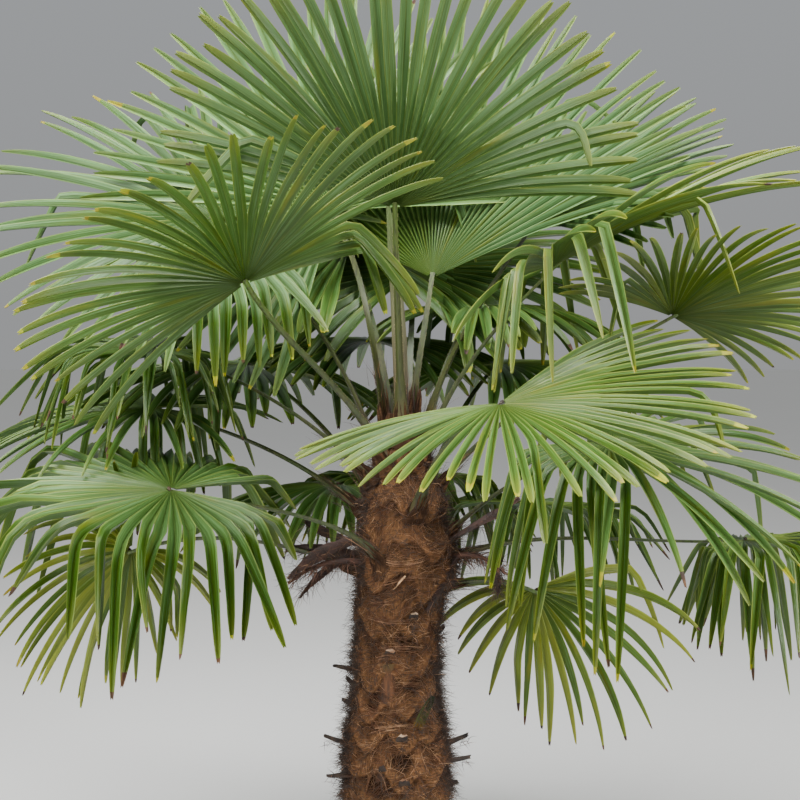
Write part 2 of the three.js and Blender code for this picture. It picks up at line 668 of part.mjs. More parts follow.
// One dry twig of a flower stalk, by turns to the left and right of the stem
function twig(curve, outward, number, { twigs, seed }) {
  const across = new THREE.Vector3().crossVectors(outward, new THREE.Vector3(0, 0, 1));
  const from = curve.getPoint(lerp(...TWIG.along, number / (twigs - 1)));
  const aside = (number % 2 ? 1 : -1) * within(TWIG.aside, seed, number);
  const way = outward.clone().multiplyScalar(TWIG.outward).addScaledVector(across, aside);
  way.z = within(TWIG.rise, number, seed);
  const to = from.clone().addScaledVector(way.normalize(), TWIG.length);
  to.z -= TWIG.sag;
  const bow = from.clone().lerp(to, 0.5).setZ(Math.max(from.z, to.z) + TWIG.bow);
  const bend = new THREE.QuadraticBezierCurve3(from, bow, to);
  return taperedTube(bend, TWIG.radius, TWIG.radius * TWIG.tipShare, TWIG.sides, TWIG.steps);
}

// A dead flower stalk: an arching stem with twigs on both sides
function flowerStalk(row) {
  const { start, outward } = rootOf(row.root);
  const tip = new THREE.Vector3(...row.end);
  const crest = start.clone().lerp(tip, 0.5).setZ(Math.max(start.z, tip.z) + FLOWER_STEM.arch);
  const curve = new THREE.QuadraticBezierCurve3(start, crest, tip);
  const { rootRadius, endRadius, sides, steps } = FLOWER_STEM;
  const pieces = [taperedTube(curve, rootRadius, endRadius, sides, steps)];
  for (let number = 0; number < row.twigs; number += 1) {
    pieces.push(twig(curve, outward, number, row));
  }
  return joined(pieces);
}

function part(name, solid, { color, roughness }) {
  const material = new THREE.MeshStandardMaterial({ color, roughness, metalness: 0 });
  const mesh = new THREE.Mesh(geometryOf(solid), material);
  mesh.name = name;
  return mesh;
}

const grownTrunk = trunkCore(GAP);
const trunk = joined([trunkCore(), ...stubs()]);
const spearLeaf = spear();
const flowerStalks = FLOWER_STALKS.map((row) => flowerStalk(row).subtract(grownTrunk));

const fronds = [...FRONDS, ...backFronds()].map(prepared);
for (const frond of fronds) {
  const { rootRadius, hubRadius, sides, steps } = STALK;
  frond.stalk = taperedTube(stalkCurve(frond), rootRadius, hubRadius, sides, steps).subtract(grownTrunk);
}
fitted(fronds, trunk, [spearLeaf, ...flowerStalks]);

const palm = new THREE.Group();
palm.add(part("trunk", trunk, FINISHES.bark));
palm.add(part("spear_leaf", spearLeaf, FINISHES.young));
flowerStalks.forEach((solid, index) => palm.add(part(FLOWER_STALKS[index].name, solid, FINISHES.dry)));
for (const frond of fronds) {
  for (const [name, solid] of Object.entries(frondSolids(frond))) {
    palm.add(part(name, solid, FINISHES[frond.age]));
  }
}

export default palm;
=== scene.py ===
"""Windmill palm: the visible trunk, stalks, fronds and fibre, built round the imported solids.

Tables and rules work in millimetres, like the part's source, and every mesh is made in metres.
+Z is up, -Y is the front, and the origin is the middle of the trunk's foot. Azimuths are in degrees
anticlockwise from +X, seen from above."""

import json
import math
import random

import bpy
import numpy as np
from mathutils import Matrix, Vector, noise


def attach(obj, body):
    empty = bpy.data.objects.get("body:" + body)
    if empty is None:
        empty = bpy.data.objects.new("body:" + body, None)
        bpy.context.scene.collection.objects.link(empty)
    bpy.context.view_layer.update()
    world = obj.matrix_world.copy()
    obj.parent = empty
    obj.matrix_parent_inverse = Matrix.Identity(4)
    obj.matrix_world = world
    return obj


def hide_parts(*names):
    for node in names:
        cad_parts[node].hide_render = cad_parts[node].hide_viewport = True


bl_info = {
    "name": "Windmill palm",
    "version": (1, 0, 0),
    "blender": (4, 5, 0),
    "location": "3D View > Sidebar > Palm",
    "description": "Builds the trunk, stalks and pleated fronds of a windmill palm",
    "category": "Add Mesh",
}

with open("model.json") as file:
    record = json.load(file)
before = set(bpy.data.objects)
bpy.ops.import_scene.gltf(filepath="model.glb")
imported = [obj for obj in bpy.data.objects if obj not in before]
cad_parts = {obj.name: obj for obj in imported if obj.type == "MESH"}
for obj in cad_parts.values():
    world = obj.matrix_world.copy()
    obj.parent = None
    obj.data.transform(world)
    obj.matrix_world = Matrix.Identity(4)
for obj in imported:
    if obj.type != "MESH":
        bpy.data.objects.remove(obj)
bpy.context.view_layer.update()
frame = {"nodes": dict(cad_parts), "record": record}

MM = 0.001

# Trunk: height above its foot, then radius or sideways lean
TRUNK_HEIGHT = 1240
TRUNK_RADIUS = [(0, 158), (70, 138), (200, 128), (400, 122), (600, 98), (740, 98), (890, 113),
                (1000, 98), (1110, 66), (TRUNK_HEIGHT, 30)]
TRUNK_LEAN = [(0, 0), (600, -5), (740, 0), (890, 24), (1000, 16), (TRUNK_HEIGHT, 8)]

# Stubs of old leaf stalks: azimuth, height, length, tilt in degrees, and whether the end is a
# pale cut
STUBS_SEEN = [
    (5, 425, 58, 18, False), (342, 398, 62, 8, False), (184, 432, 56, 14, False),
    (196, 366, 48, 4, False), (182, 612, 52, 10, False), (170, 512, 30, 25, False),
    (291, 722, 26, 50, True), (259, 644, 24, 50, True), (276, 440, 28, 50, True),
    (280, 338, 28, 45, True), (254, 370, 26, 50, False),
]
STUBS_BEHIND = {"count": 10, "heights": (300, 740), "azimuths": (20, 160), "lengths": (28, 56),
                "tilts": (5, 45)}
STUBS_LOW = {"count": 7, "heights": (90, 290), "lengths": (18, 42), "tilts": (5, 40)}
GOLDEN_ANGLE = 137.5

# Fronds: the rule of the part's source. A leaflet's bending rate rises by the droop power, a fold
# takes the ease on both sides of it, and the wings are leaflets from and past these angles.
DROOP_POWER = 0.6
FOLD_EASE = 0.1
WING_ANGLES = (1.3, 2.6)
# What a frond does unless its age or its own row says otherwise. Angles are in degrees, but fold,
# lift and pleat, which is the slope of a leaflet's halves, are in radians.
# The fan: spread and turn are its whole angle and how far it is turned, shortest is the length of
# its outermost leaflets, skew makes those of one side longer, and droop, wing and cup bend it.
# The parting: parted is its share of the reach, joined is its share of the way to the fold, and
# lopsided moves it outward on one side.
# Leaflets: gape is how much of the pleat is left further out, blunt is how full their ends are,
# ragged is how much their lengths differ, and loose, stray and twist are how freely they lie.
# Folds: fold turns the fan down at fold_at, and stiffest is the share of it that the least folded
# leaflets have. Creased is how many of the others have a crease, and hang is how many of those
# beyond hang_from on hang_side (0 is both sides) fold down at hang_at or where they part.
# Colours: ripe and dry are how many tips are yellow or dead, warm is how yellow the green is, sere
# is how much yellower the yellowest leaflets are, side_sheen is a painted highlight that makes the
# leaflets of one side paler, and hang_shade is painted shade that makes the hanging parts darker,
# and paler where it is negative. Lift is how steeply the stalk leaves the trunk.
HABITS = {
    "spread": 310, "turn": 0, "droop": 0.5, "wing": 0, "skew": 0, "cup": 0.08, "shortest": 0.7,
    "fold": 0, "fold_at": 0.5, "joined": 0.55, "stiffest": 0.45, "parted": 0.36, "lopsided": 0,
    "pleat": 0.82, "gape": 0.72, "loose": 1.1, "blunt": 0.55, "creased": 0.05, "hang": 0,
    "hang_from": 49, "hang_side": 0, "hang_at": 0, "ragged": 0.09, "twist": 0.5, "stray": 0.045,
    "ripe": 0.5, "dry": 0.1, "count": 38, "warm": 0.35, "sere": 0.2, "side_sheen": 0, "hang_shade": 0.45,
    "lift": 0.3,
}
AGES = {
    "young": {"spread": 190, "droop": 0.25, "cup": 0.12, "pleat": 0.95, "gape": 0.85, "loose": 0.5,
              "ripe": 0.15, "dry": 0.0, "count": 36},
    "open": {},
    "arching": {"spread": 316, "droop": 0.95, "cup": 0.04, "loose": 1.5, "blunt": 0.3,
                "creased": 0.1, "ragged": 0.18, "twist": 0.9, "stray": 0.07, "gape": 0.9,
                "dry": 0.35},
    "folded": {"spread": 312, "droop": 0.3, "fold": 1.6, "fold_at": 0.46, "cup": 0, "loose": 2.0,
               "ragged": 0.3, "twist": 1.7, "stray": 0.14, "gape": 1.12, "blunt": 0.25, "ripe": 0.2,
               "dry": 0.6, "count": 40},
}

# name, age, hub, aim (azimuth, elevation), roll, reach, root (azimuth, height), tone, own habits
FRONDS = [
    ("front_left", "open", (-334, -389, 1548), (263, 37.6), 27.7, 521, (228, 1105), 0.12,
     {"spread": 226, "turn": 8, "shortest": 0.95, "cup": 0.11, "droop": 0.37, "wing": 0.9,
      "skew": 0.02, "count": 34, "warm": 0.5, "ripe": 0.9, "hang": 1, "hang_from": 80,
      "hang_side": -1, "hang_at": 0.6, "creased": 0, "gape": 0.95, "blunt": 0.68, "hang_shade": 0}),
    ("top_front", "young", (-7, -150, 1725), (272, 62), -8, 650, (268, 1165), 0.5,
     {"droop": 0.25, "spread": 164, "gape": 0.7, "warm": 0.6, "blunt": 0.85}),
    ("top_back_left", "open", (-156, 120, 1730), (163, 48), -62, 650, (148, 1170), 0.52,
     {"spread": 250, "droop": 0.2, "count": 42, "blunt": 0.4}),
    ("upper_left", "open", (-442, 60, 1711), (176, 14), -42, 620, (180, 1110), 0.52,
     {"droop": 0.3, "count": 46, "blunt": 0.25, "hang": 0.85, "hang_from": 95, "gape": 0.9,
      "stray": 0.07}),
    ("top_back_right", "young", (84, 130, 1567), (70, 68), 0, 800, (58, 1180), 0.55,
     {"spread": 134, "side_sheen": 0.6, "warm": 0.5}),
    ("upper_right_back", "young", (343, 200, 1708), (25, 42), 12, 560, (22, 1150), 0.55, {}),
    ("upper_right", "open", (368, -100, 1594), (352, 30), 0, 690, (340, 1125), 0.3,
     {"spread": 250, "droop": 0.45, "cup": 0.2, "wing": 0.4, "shortest": 0.62, "parted": 0.26,
      "count": 34, "hang": 0.42, "creased": 0.08, "gape": 0.9, "warm": 0.8, "blunt": 0.3,
      "stray": 0.12, "twist": 1.0, "sere": 0.6, "hang_shade": -0.35}),
    ("far_right", "open", (665, 50, 1473), (335, 20), -22, 540, (2, 1040), 0.0,
     {"spread": 200, "turn": 12, "droop": 0.4, "shortest": 0.62, "count": 36, "blunt": 0.35,
      "gape": 0.9, "warm": 0.8, "sere": 0.7}),
    ("front_right", "open", (222, -428, 1287), (323, -5.7), 17.9, 546, (286, 975), 0.0,
     {"spread": 216, "turn": 23, "shortest": 0.92, "cup": 0.135, "droop": 0.28, "skew": -0.052,
      "count": 40, "parted": 0.33, "warm": 0.65, "blunt": 0.9, "gape": 1.0, "ripe": 0.35,
      "sere": 0.3, "pleat": 0.95, "lopsided": -0.45, "side_sheen": 0.22, "dry": 0}),
    ("left_folded", "folded", (-521, -200, 1076), (190, 3), -15, 760, (245, 822), 0.3,
     {"shortest": 0.62, "warm": 0.4, "sere": 0.3, "gape": 1.18, "stray": 0.2, "twist": 2.2,
      "loose": 2.6, "joined": 0.66, "lift": 0.85}),
    ("low_left", "arching", (-657, 100, 899), (200, -42), 50, 450, (172, 850), 0.0,
     {"spread": 250, "shortest": 0.85, "droop": 0.8, "warm": 0.65, "count": 30, "parted": 0.3,
      "ripe": 0.9, "dry": 0.2, "sere": 2.8}),
    ("mid_left", "folded", (-587, 40, 1398), (196, 0), -10, 480, (190, 1060), 0.3,
     {"fold_at": 0.38}),
    ("mid_left_behind", "open", (-619, 190, 1243), (170, 0), -8, 520, (162, 970), 0.15,
     {"droop": 0.7, "hang": 0.6, "parted": 0.28, "gape": 0.95, "blunt": 0.3}),
    ("right", "open", (495, -120, 1178), (335, -8), 16, 600, (345, 928), 0.3,
     {"spread": 300, "wing": 1, "skew": 0.25, "parted": 0.26, "hang": 0.75, "creased": 0.12,
      "gape": 0.95, "blunt": 0.35, "twist": 1.5, "stray": 0.13, "warm": 0.6}),
    ("low_right", "arching", (335, 85, 802), (346, -50), -67, 438, (14, 815), 0.05,
     {"spread": 216, "turn": -30, "shortest": 0.95, "cup": 0.27, "droop": 1.02, "skew": 0.07,
      "count": 20, "parted": 0.27, "gape": 0.95, "warm": 0.75, "blunt": 0.2, "dry": 0.8,
      "sere": 2.2}),
    ("right_folded", "folded", (860, 150, 915), (350, 4), 0, 600, (26, 872), 0.12,
     {"fold_at": 0.28, "shortest": 0.5, "gape": 0.85, "ragged": 0.15, "warm": 0.6,
      "stiffest": 0.85}),
    ("back_left_low", "arching", (-150, 350, 1034), (165, 0), 0, 480, (120, 890), 0.15, {}),
    ("right_behind", "arching", (207, 250, 1500), (48, 0), 0, 470, (54, 1050), 0.15, {}),
]
# The fronds behind: name, age, azimuths, out, height, tilt, reach, root height
BACK_TIERS = [
    ("back_upper", "open", (82, 112), 330, 1590, 30, 600, 1085),
    ("back_middle", "arching", (60, 98, 138), 520, 1345, 4, 560, 985),
    ("back_low", "folded", (48, 88), 500, 985, -4, 520, 870),
]
BACK_STEP = 60
BACK_TONE = 0.15

# Leaflets, finer than the part's
HUB_RADIUS = 12
WALK_STEPS = 64
UNITED_STATIONS = 7
FREE_STATIONS = 14
COLUMNS = 5
PART_STRAY = 0.16
PARTED = (0.4, 0.55)
WIDENING = 0.9
WIDEST_FROM = 0.29
TIP_SLOPES = (1.1, 0.45)
RIDGE_SHARE = 0.4
LEAF_THICKNESS = 0.7
RIB_THICKNESS = 1.3
TIP_NOTCH = 5
PARTING_GAP = 2
SWELL = 0.12
# Stations crowd towards the hub and towards the tip
INNER_EASE = 1.3
OUTER_EASE = 1.25
# How full a leaflet is at shares of its free length
BLUNT_LEAFLET = ((0, 0.2, 0.5, 0.75, 0.88, 0.96, 1), (0.97, 1.04, 1.08, 1.04, 0.9, 0.62, 0.3))
POINTED_LEAFLET = ((0, 0.2, 0.5, 0.75, 0.9, 1), (0.97, 1.0, 0.86, 0.58, 0.32, 0.12))
UPPER, UNDER, YELLOW_TIP, DRY_TIP, HEART = range(5)

# Trunk mesh, and the sheath edges, lumps and weave of its mat: how far each stands out and its size
TRUNK_MESH = {"sides": 170, "rings": 280, "flat_foot": 30}
LEDGES = {"step": 92, "wander": 75, "long": 240, "lip": 0.07, "out": 13}
LUMPS = {"out": 4, "tall": 48}
WEAVE = {"out": 2, "tall": 16, "long": 60}
MEAN_RADIUS = 110
RELIEF_DEPTH = 0.0095
MAT_INSET = 6
# Painted shade under the crown: how much the trunk's depth value drops, which darkens the mat, and
# between which heights.
CROWN_SHADE = {"depth": 9, "heights": (1060, 1200)}
# Hollows in the mat: azimuth, height, half width, half height and depth
HOLLOWS = [(286, 700, 27, 15, 16), (276, 416, 20, 15, 24), (247, 360, 25, 30, 22),
           (280, 312, 18, 12, 14), (236, 560, 22, 26, 12), (300, 600, 20, 24, 12)]
# Rims of old sheaths: azimuth, height, half turn in degrees, and how far the middle stands up
RIMS = [(266, 760, 44, -8), (276, 684, 36, 6), (262, 664, 22, 8), (246, 800, 20, -4),
        (278, 490, 40, 14), (247, 352, 13, 48), (255, 548, 34, -10), (288, 592, 30, 10),
        (262, 905, 38, -14), (280, 846, 34, 12)]
RIMS_BEHIND = {"count": 9, "heights": (120, 980), "azimuths": (-40, 200), "half": 38, "rise": 10}
# Tufts of dark hair on the trunk's sides: azimuth and height
TUFTS = [(340, 545), (348, 520), (352, 488), (356, 430), (192, 650), (186, 560), (182, 480),
         (184, 392), (180, 330), (350, 640), (345, 590), (354, 370), (188, 700), (184, 610),
         (186, 520), (182, 430)]
TUFTS_BEHIND = {"count": 14, "heights": (180, 880), "azimuths": (-25, 205)}
# Dead sheath pieces at the crown's foot: three points of the middle line, and half the width.
# Those behind start at a distance, rise first and then drop.
DEAD_SHEATHS = [
    ((88, -38, 925), (190, -72, 968), (289, -60, 1042), 16),
    ((228, -70, 874), (242, -82, 858), (237, -75, 812), 8),
    ((142, -30, 890), (108, -70, 832), (70, -84, 776), 13),
    ((-92, -36, 940), (-190, -60, 925), (-262, -70, 850), 15),
    ((-98, 10, 900), (-180, -20, 880), (-236, -40, 800), 12),
]
DEAD_BEHIND = {"azimuths": (24, 62, 100, 140, 168), "heights": (850, 930), "start": 88,
               "out": 190, "rise": 12, "end": 1.35, "drop": 70, "half": 14}
DEAD_STEPS = 18
# Single pieces: the green stub's bends, the flat foot of an old stalk, and a pale scrap of sheath
GREEN_STUB = ((34, -66, 468), (50, -112, 500), (58, -122, 540), (84, -118, 578))
GREEN_STEPS = 14
OLD_BASE = {"azimuth": 259, "height": 652, "length": 100, "wide": (14, 19), "lift": (7, 1),
            "rows": 12, "columns": 7}
SCRAP = ((-8, -112, 832), (0, -126, 842), (18, -118, 864), 7)
# A stub starts inside the trunk, and its end bends up and aside. Its half width differs for a cut
# and for a broken end.
STUB = {"steps": 9, "sunk": 26, "rise": 14, "aside": 16, "cut_half": 14, "broken_half": 10}
# Where a stalk starts, as a share of the trunk's radius
ROOTED = 0.7
STALK = {"steps": 26, "steepest": 1.35, "pull": 0.35}
# A stalk's depths and half widths at shares of its length, with its waist at the third
STALK_SHARES = (0, 0.12, 0.3, 0.9, 1)
STALK_DEPTHS = (12, 9, 7.5, 5, 4)
STALK_FOOT = (26, 19)
STALK_END = (5.8, 6)
TEETH = {"step": 9, "shares": (0.16, 0.96), "half": 1.6, "rise": 1.2}
FLOWER_STALKS = [("left", (206, 868), (-262, -60, 838)), ("right", (352, 880), (255, -70, 862))]
FLOWER_STALK = {"steps": 16, "sides": 9, "crest": 55, "radii": (13, 4), "flat": 0.7}
TWIGS = {"count": 46, "points": 7, "lengths": (30, 86), "radii": (1.0, 2.2)}
SPEAR = {"radius": 15, "height": 520, "lean": (-34, -6), "sunk": 12, "steps": 40, "sides": 22,
         "pleat": 0.13}
# Fibres: points of a long and a short one, how thin one ends, wisps for each matted strand, and
# fibres for each rim and for each stalk
STRAND_POINTS = 5
WISP_POINTS = 3
STRAND_TAPER = 0.35
WISPS = 3.0
RIM_FIBRES = 42
CROWN_HAIRS = 45
MATTED = {"heights": (20, 1120), "lengths": (50, 190), "bow": 5}
LOOSE = {"heights": (20, 1130), "shorts": 0.8, "aside": 0.6, "right": (-0.5, 0.35),
         "left": (2.8, 3.65)}
# Hair: its lengths, how many points it has and how much it strays
HAIR = {"short": ((10, 34), WISP_POINTS, 0.4), "long": ((34, 66), WISP_POINTS, 0.4),
        "stalk": ((30, 120), STRAND_POINTS, 0.14), "dead": ((18, 62), WISP_POINTS, 0.25),
        "stub": ((12, 36), WISP_POINTS, 0.22), "tuft": ((14, 46), WISP_POINTS, 0.45)}
# The fibrous sheath round a stalk's foot: half widths and half depths at its foot and its neck
SLEEVE = {"length": 105, "foot": (42, 27), "neck": (12, 8), "rings": 18, "sides": 34}

# Seeds of the random draws: the fibre, the twigs of the first flower stalk, and the pale scrap
FIBRE_SEED = 41
TWIG_SEED = 77
SCRAP_SEED = 50

# Studio: each light's name, place, size and share of the light power
LIGHTS = [("light_above", (-1.2, -1.2, 5.2), 4.0, 1.0),
          ("light_front", (-3.2, -4.6, 3.0), 2.0, 0.22),
          ("light_side", (3.6, -2.2, 3.4), 1.2, 0.38)]
LIGHTS_AIM = (0, 0, 1.3)
FLOOR = {"radius": 40, "sides": 96}
CAMERA = {"lens": 84.4, "sensor": 36, "place": (0.005, -4.5, 1.5), "tilt": -2.9}


def linear(red, green, blue):
    """A screen colour of 0 to 255 as the linear colour that shaders take."""
    return tuple(((c / 255 + 0.055) / 1.055) ** 2.4 if c > 10 else c / 255 / 12.92
                 for c in (red, green, blue))


# Numbers and vectors

def chance(first, second):
    """A number in [0, 1) that is always the same for the same two numbers."""
    wave = np.sin(np.asarray(first) * 12.9898 + np.asarray(second) * 78.233) * 43758.5453
    return wave - np.floor(wave)


def lerp(low, high, share):
    return low + (high - low) * share


def within(pair, first, second):
    return lerp(*pair, float(chance(first, second)))


def smooth(value, low, high):
    share = np.clip((value - low) / (high - low), 0, 1)
    return share * share * (3 - 2 * share)


def value_at(table, height):
    """The value of a height table, smooth between its rows."""
    for (low, first), (high, last) in zip(table, table[1:]):
        if height <= high:
            return lerp(first, last, float(smooth(height, low, high)))
    return table[-1][1]


def unit(vectors):
    return vectors / np.linalg.norm(vectors, axis=-1, keepdims=True)


def read_at(stops, places, vectors):
    """Vectors known at rising places, read off at any stops."""
    return np.stack([np.interp(stops, places, vectors[:, axis]) for axis in range(3)], axis=-1)


def scattered(rule):
    """Places in a spiral round part of the trunk: a number, an azimuth and a height for each."""
    for i in range(rule["count"]):
        yield (i, lerp(*rule["azimuths"], (i * GOLDEN_ANGLE / 360) % 1),
               lerp(*rule["heights"], (i + 0.5) / rule["count"]))


def heading(azimuth, elevation):
    flat = np.cos(elevation)
    return np.stack([flat * np.cos(azimuth), flat * np.sin(azimuth), np.sin(elevation)], axis=-1)


def level_way(azimuth):
    """The level direction at an azimuth in degrees."""
    return heading(math.radians(azimuth), 0.0)


def turned(vectors, axis, angle):
    """Vectors turned about unit axes by angles."""
    c, s = np.cos(angle)[..., None], np.sin(angle)[..., None]
    along = np.sum(vectors * axis, axis=-1, keepdims=True)
    return vectors * c + np.cross(axis, vectors) * s + axis * along * (1 - c)


# Meshes

class Mesher:
    """Collects points and faces in millimetres, and makes one object of them."""

    def __init__(self):
        self.points, self.faces, self.looks, self.values = [], [], [], {}
        self.count = 0

    def add(self, points, groups, looks=0, **values):
        """Adds points, one array of faces or a list of them, each one's look, and point values."""
        points = np.asarray(points, float).reshape(-1, 3)
        if isinstance(groups, np.ndarray):
            groups, looks = [groups], [looks]
        elif isinstance(looks, int):
            looks = [looks] * len(groups)
        for faces, look in zip(groups, looks):
            self.faces.append(faces + self.count)
            self.looks.append(np.broadcast_to(np.asarray(look, int), (len(faces),)))
        for key, value in values.items():
            whole = np.broadcast_to(np.asarray(value, float), (len(points),))
            self.values.setdefault(key, []).append((self.count, whole))
        self.points.append(points)
        self.count += len(points)

    def build(self, name, materials, slot, *nodes, sharp):
        """Makes the piece. It rides on the part and stands for any nodes; the slot is not used. Its
        edges are sharp from an angle on."""
        mesh = bpy.data.meshes.new(name)
        points = np.concatenate(self.points) * MM
        mesh.vertices.add(len(points))
        mesh.vertices.foreach_set("co", points.astype(np.float32).ravel())
        sizes = np.concatenate([np.full(len(f), f.shape[1]) for f in self.faces])
        corners = np.concatenate([f.ravel() for f in self.faces])
        mesh.loops.add(len(corners))
        mesh.loops.foreach_set("vertex_index", corners.astype(np.int32))
        mesh.polygons.add(len(sizes))
        starts = np.concatenate([[0], np.cumsum(sizes)[:-1]])
        mesh.polygons.foreach_set("loop_start", starts.astype(np.int32))
        mesh.polygons.foreach_set("material_index", np.concatenate(self.looks).astype(np.int32))
        for key, chunks in self.values.items():
            whole = np.zeros(len(points), np.float32)
            for start, values in chunks:
                whole[start:start + len(values)] = values
            mesh.attributes.new(key, "FLOAT", "POINT").data.foreach_set("value", whole)
        mesh.update(calc_edges=True)
        mesh.validate()
        mesh.polygons.foreach_set("use_smooth", np.ones(len(mesh.polygons), bool))
        mesh.set_sharp_from_angle(angle=sharp)
        for material in materials:
            mesh.materials.append(material)
        piece = bpy.data.objects.new(name, mesh)
        bpy.context.scene.collection.objects.link(piece)
        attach(piece, "root")
        if nodes:
            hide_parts(*nodes)


def grid_faces(rows, columns, closed=False):
    """Faces of a grid of points, row by row. A closed grid joins its last column to its first."""
    across = columns if closed else columns - 1
    r, c = np.meshgrid(np.arange(rows - 1), np.arange(across), indexing="ij")
    r, c = r.ravel(), c.ravel()
    n = (c + 1) % columns
    row, after = r * columns, (r + 1) * columns
    return np.stack([row + c, row + n, after + n, after + c], axis=1)


def cap_faces(columns, first, middle, inward=False):
    """Triangles from a closed ring of points to the point in its middle."""
    ring = np.arange(columns)
    here, after, tip = ring + first, (ring + 1) % columns + first, np.full(columns, middle)
    return np.stack([here, tip, after] if inward else [here, after, tip], axis=1)


def tube_faces(rows, columns):
    """Faces of a tube: its wall, and the caps to the two points that follow its rings."""
    count = rows * columns
    return [grid_faces(rows, columns, closed=True), cap_faces(columns, 0, count, inward=True),
            cap_faces(columns, count - columns, count + 1)]


def sweep(path, widths, heights, outline, across):
    """Points and faces of a tube that carries a flat outline along a path."""
    path = np.asarray(path, float)
    way = unit(np.gradient(path, axis=0))
    across = unit(across - way * np.sum(across * way, axis=1, keepdims=True))
    up = np.cross(across, way)
    outline = np.asarray(outline, float)
    wide = outline[None, :, 0] * np.asarray(widths)[:, None]
    tall = outline[None, :, 1] * np.asarray(heights)[:, None]
    points = path[:, None] + across[:, None] * wide[..., None] + up[:, None] * tall[..., None]
    points = np.concatenate([points.reshape(-1, 3), path[:1], path[-1:]])
    return points, tube_faces(len(path), len(outline))


def add_tube(mesher, path, widths, heights, outline, across, looks=0, **values):
    """Adds a tube to a mesher, with the share of its length as a point value."""
    points, faces = sweep(path, widths, heights, outline, across)
    share = np.repeat(np.linspace(0, 1, len(path)), len(outline))
    mesher.add(points, faces, looks, share=np.concatenate([share, [0, 1]]), **values)


def round_outline(sides):
    turn = np.arange(sides) / sides * 2 * math.pi
    return np.stack([np.cos(turn), np.sin(turn)], axis=1)


def bezier(points, steps):
    share = np.linspace(0, 1, steps)[:, None]
    points = [np.asarray(p, float) for p in points]
    while len(points) > 1:
        points = [lerp(a, b, share) for a, b in zip(points, points[1:])]
    return points[0]


# Materials

def new_material(name):
    material = bpy.data.materials.new(name)
    material.use_nodes = True
    return material, material.node_tree, material.node_tree.nodes["Principled BSDF"]


def attribute(tree, name):
    node = tree.nodes.new("ShaderNodeAttribute")
    node.attribute_name = name
    return node.outputs["Fac"]


def noise_of(tree, scale, detail=3, stretch=None, seed=0):
    """Noise over the piece's own place, stretched along its axes if asked."""
    texture = tree.nodes.new("ShaderNodeTexNoise")
    texture.inputs["Scale"].default_value = scale
    texture.inputs["Detail"].default_value = detail
    place = tree.nodes.new("ShaderNodeTexCoord")
    mapping = tree.nodes.new("ShaderNodeMapping")
    mapping.inputs["Location"].default_value = (seed * 3.7, seed * 1.3, seed * 2.1)
    if stretch:
        mapping.inputs["Scale"].default_value = stretch
    tree.links.new(place.outputs["Object"], mapping.inputs["Vector"])
    tree.links.new(mapping.outputs["Vector"], texture.inputs["Vector"])
    return texture.outputs["Fac"]


def ramp(tree, value, stops):
    node = tree.nodes.new("ShaderNodeValToRGB")
    elements = node.color_ramp.elements
    while len(elements) < len(stops):
        elements.new(0.5)
    for element, (place, colour) in zip(elements, stops):
        element.position = place
        element.color = (*colour, 1)
    tree.links.new(value, node.inputs["Fac"])
    return node.outputs["Color"]


def mixed(tree, share, first, second, kind="MIX"):
    """A mix of two colours, each a socket or a colour, by a share that is a socket or a number."""
    node = tree.nodes.new("ShaderNodeMix")
    node.data_type = "RGBA"
    node.blend_type = kind
    for number, value in ((0, share), (6, first), (7, second)):
        socket = node.inputs[number]
        if isinstance(value, bpy.types.NodeSocket):
            tree.links.new(value, socket)
        elif isinstance(value, (int, float)):
            socket.default_value = value
        else:
            socket.default_value = (*value, 1)
    return node.outputs[2]


def remap(tree, value, low, high, first=0.0, last=1.0):
    node = tree.nodes.new("ShaderNodeMapRange")
    limits = {"From Min": low, "From Max": high, "To Min": first, "To Max": last}
    for name, number in limits.items():
        node.inputs[name].default_value = number
    tree.links.new(value, node.inputs["Value"])
    return node.outputs["Result"]


def over(tree, base, colour, value, *limits):
    """A base with a colour laid over it by a value, read between limits as remap does."""
    return mixed(tree, remap(tree, value, *limits), base, colour)


def bump(tree, height, strength, distance):
    node = tree.nodes.new("ShaderNodeBump")
    node.inputs["Strength"].default_value = strength
    node.inputs["Distance"].default_value = distance
    tree.links.new(height, node.inputs["Height"])
    return node.outputs["Normal"]


def finish(tree, shader, base, roughness, relief=None, specular=None):
    """Gives a shader its colour, its roughness, and its bump as height, strength and distance."""
    tree.links.new(base, shader.inputs["Base Color"])
    shader.inputs["Roughness"].default_value = roughness
    if relief:
        tree.links.new(bump(tree, *relief), shader.inputs["Normal"])
    if specular is not None:
        shader.inputs["Specular IOR Level"].default_value = specular


def calculated(tree, kind, first, second=None):
    """A Math node's result."""
    node = tree.nodes.new("ShaderNodeMath")
    node.operation = kind
    tree.links.new(first, node.inputs[0])
    if second is not None:
        tree.links.new(second, node.inputs[1])
    return node.outputs[0]


def streaks_of(tree, luck, across, share, fineness, seed):
    """Noise in long streaks along a leaflet, other for each one."""
    place = tree.nodes.new("ShaderNodeCombineXYZ")
    tree.links.new(remap(tree, luck, 0, 1, seed, seed + 60), place.inputs["Z"])
    tree.links.new(remap(tree, across, -1, 1, 0, fineness), place.inputs["X"])
    tree.links.new(remap(tree, share, 0, 1, 0, 2.6), place.inputs["Y"])
    texture = tree.nodes.new("ShaderNodeTexNoise")
    texture.inputs["Scale"].default_value = 1.0
    texture.inputs["Detail"].default_value = 4
    tree.links.new(place.outputs["Vector"], texture.inputs["Vector"])
    return texture.outputs["Fac"]


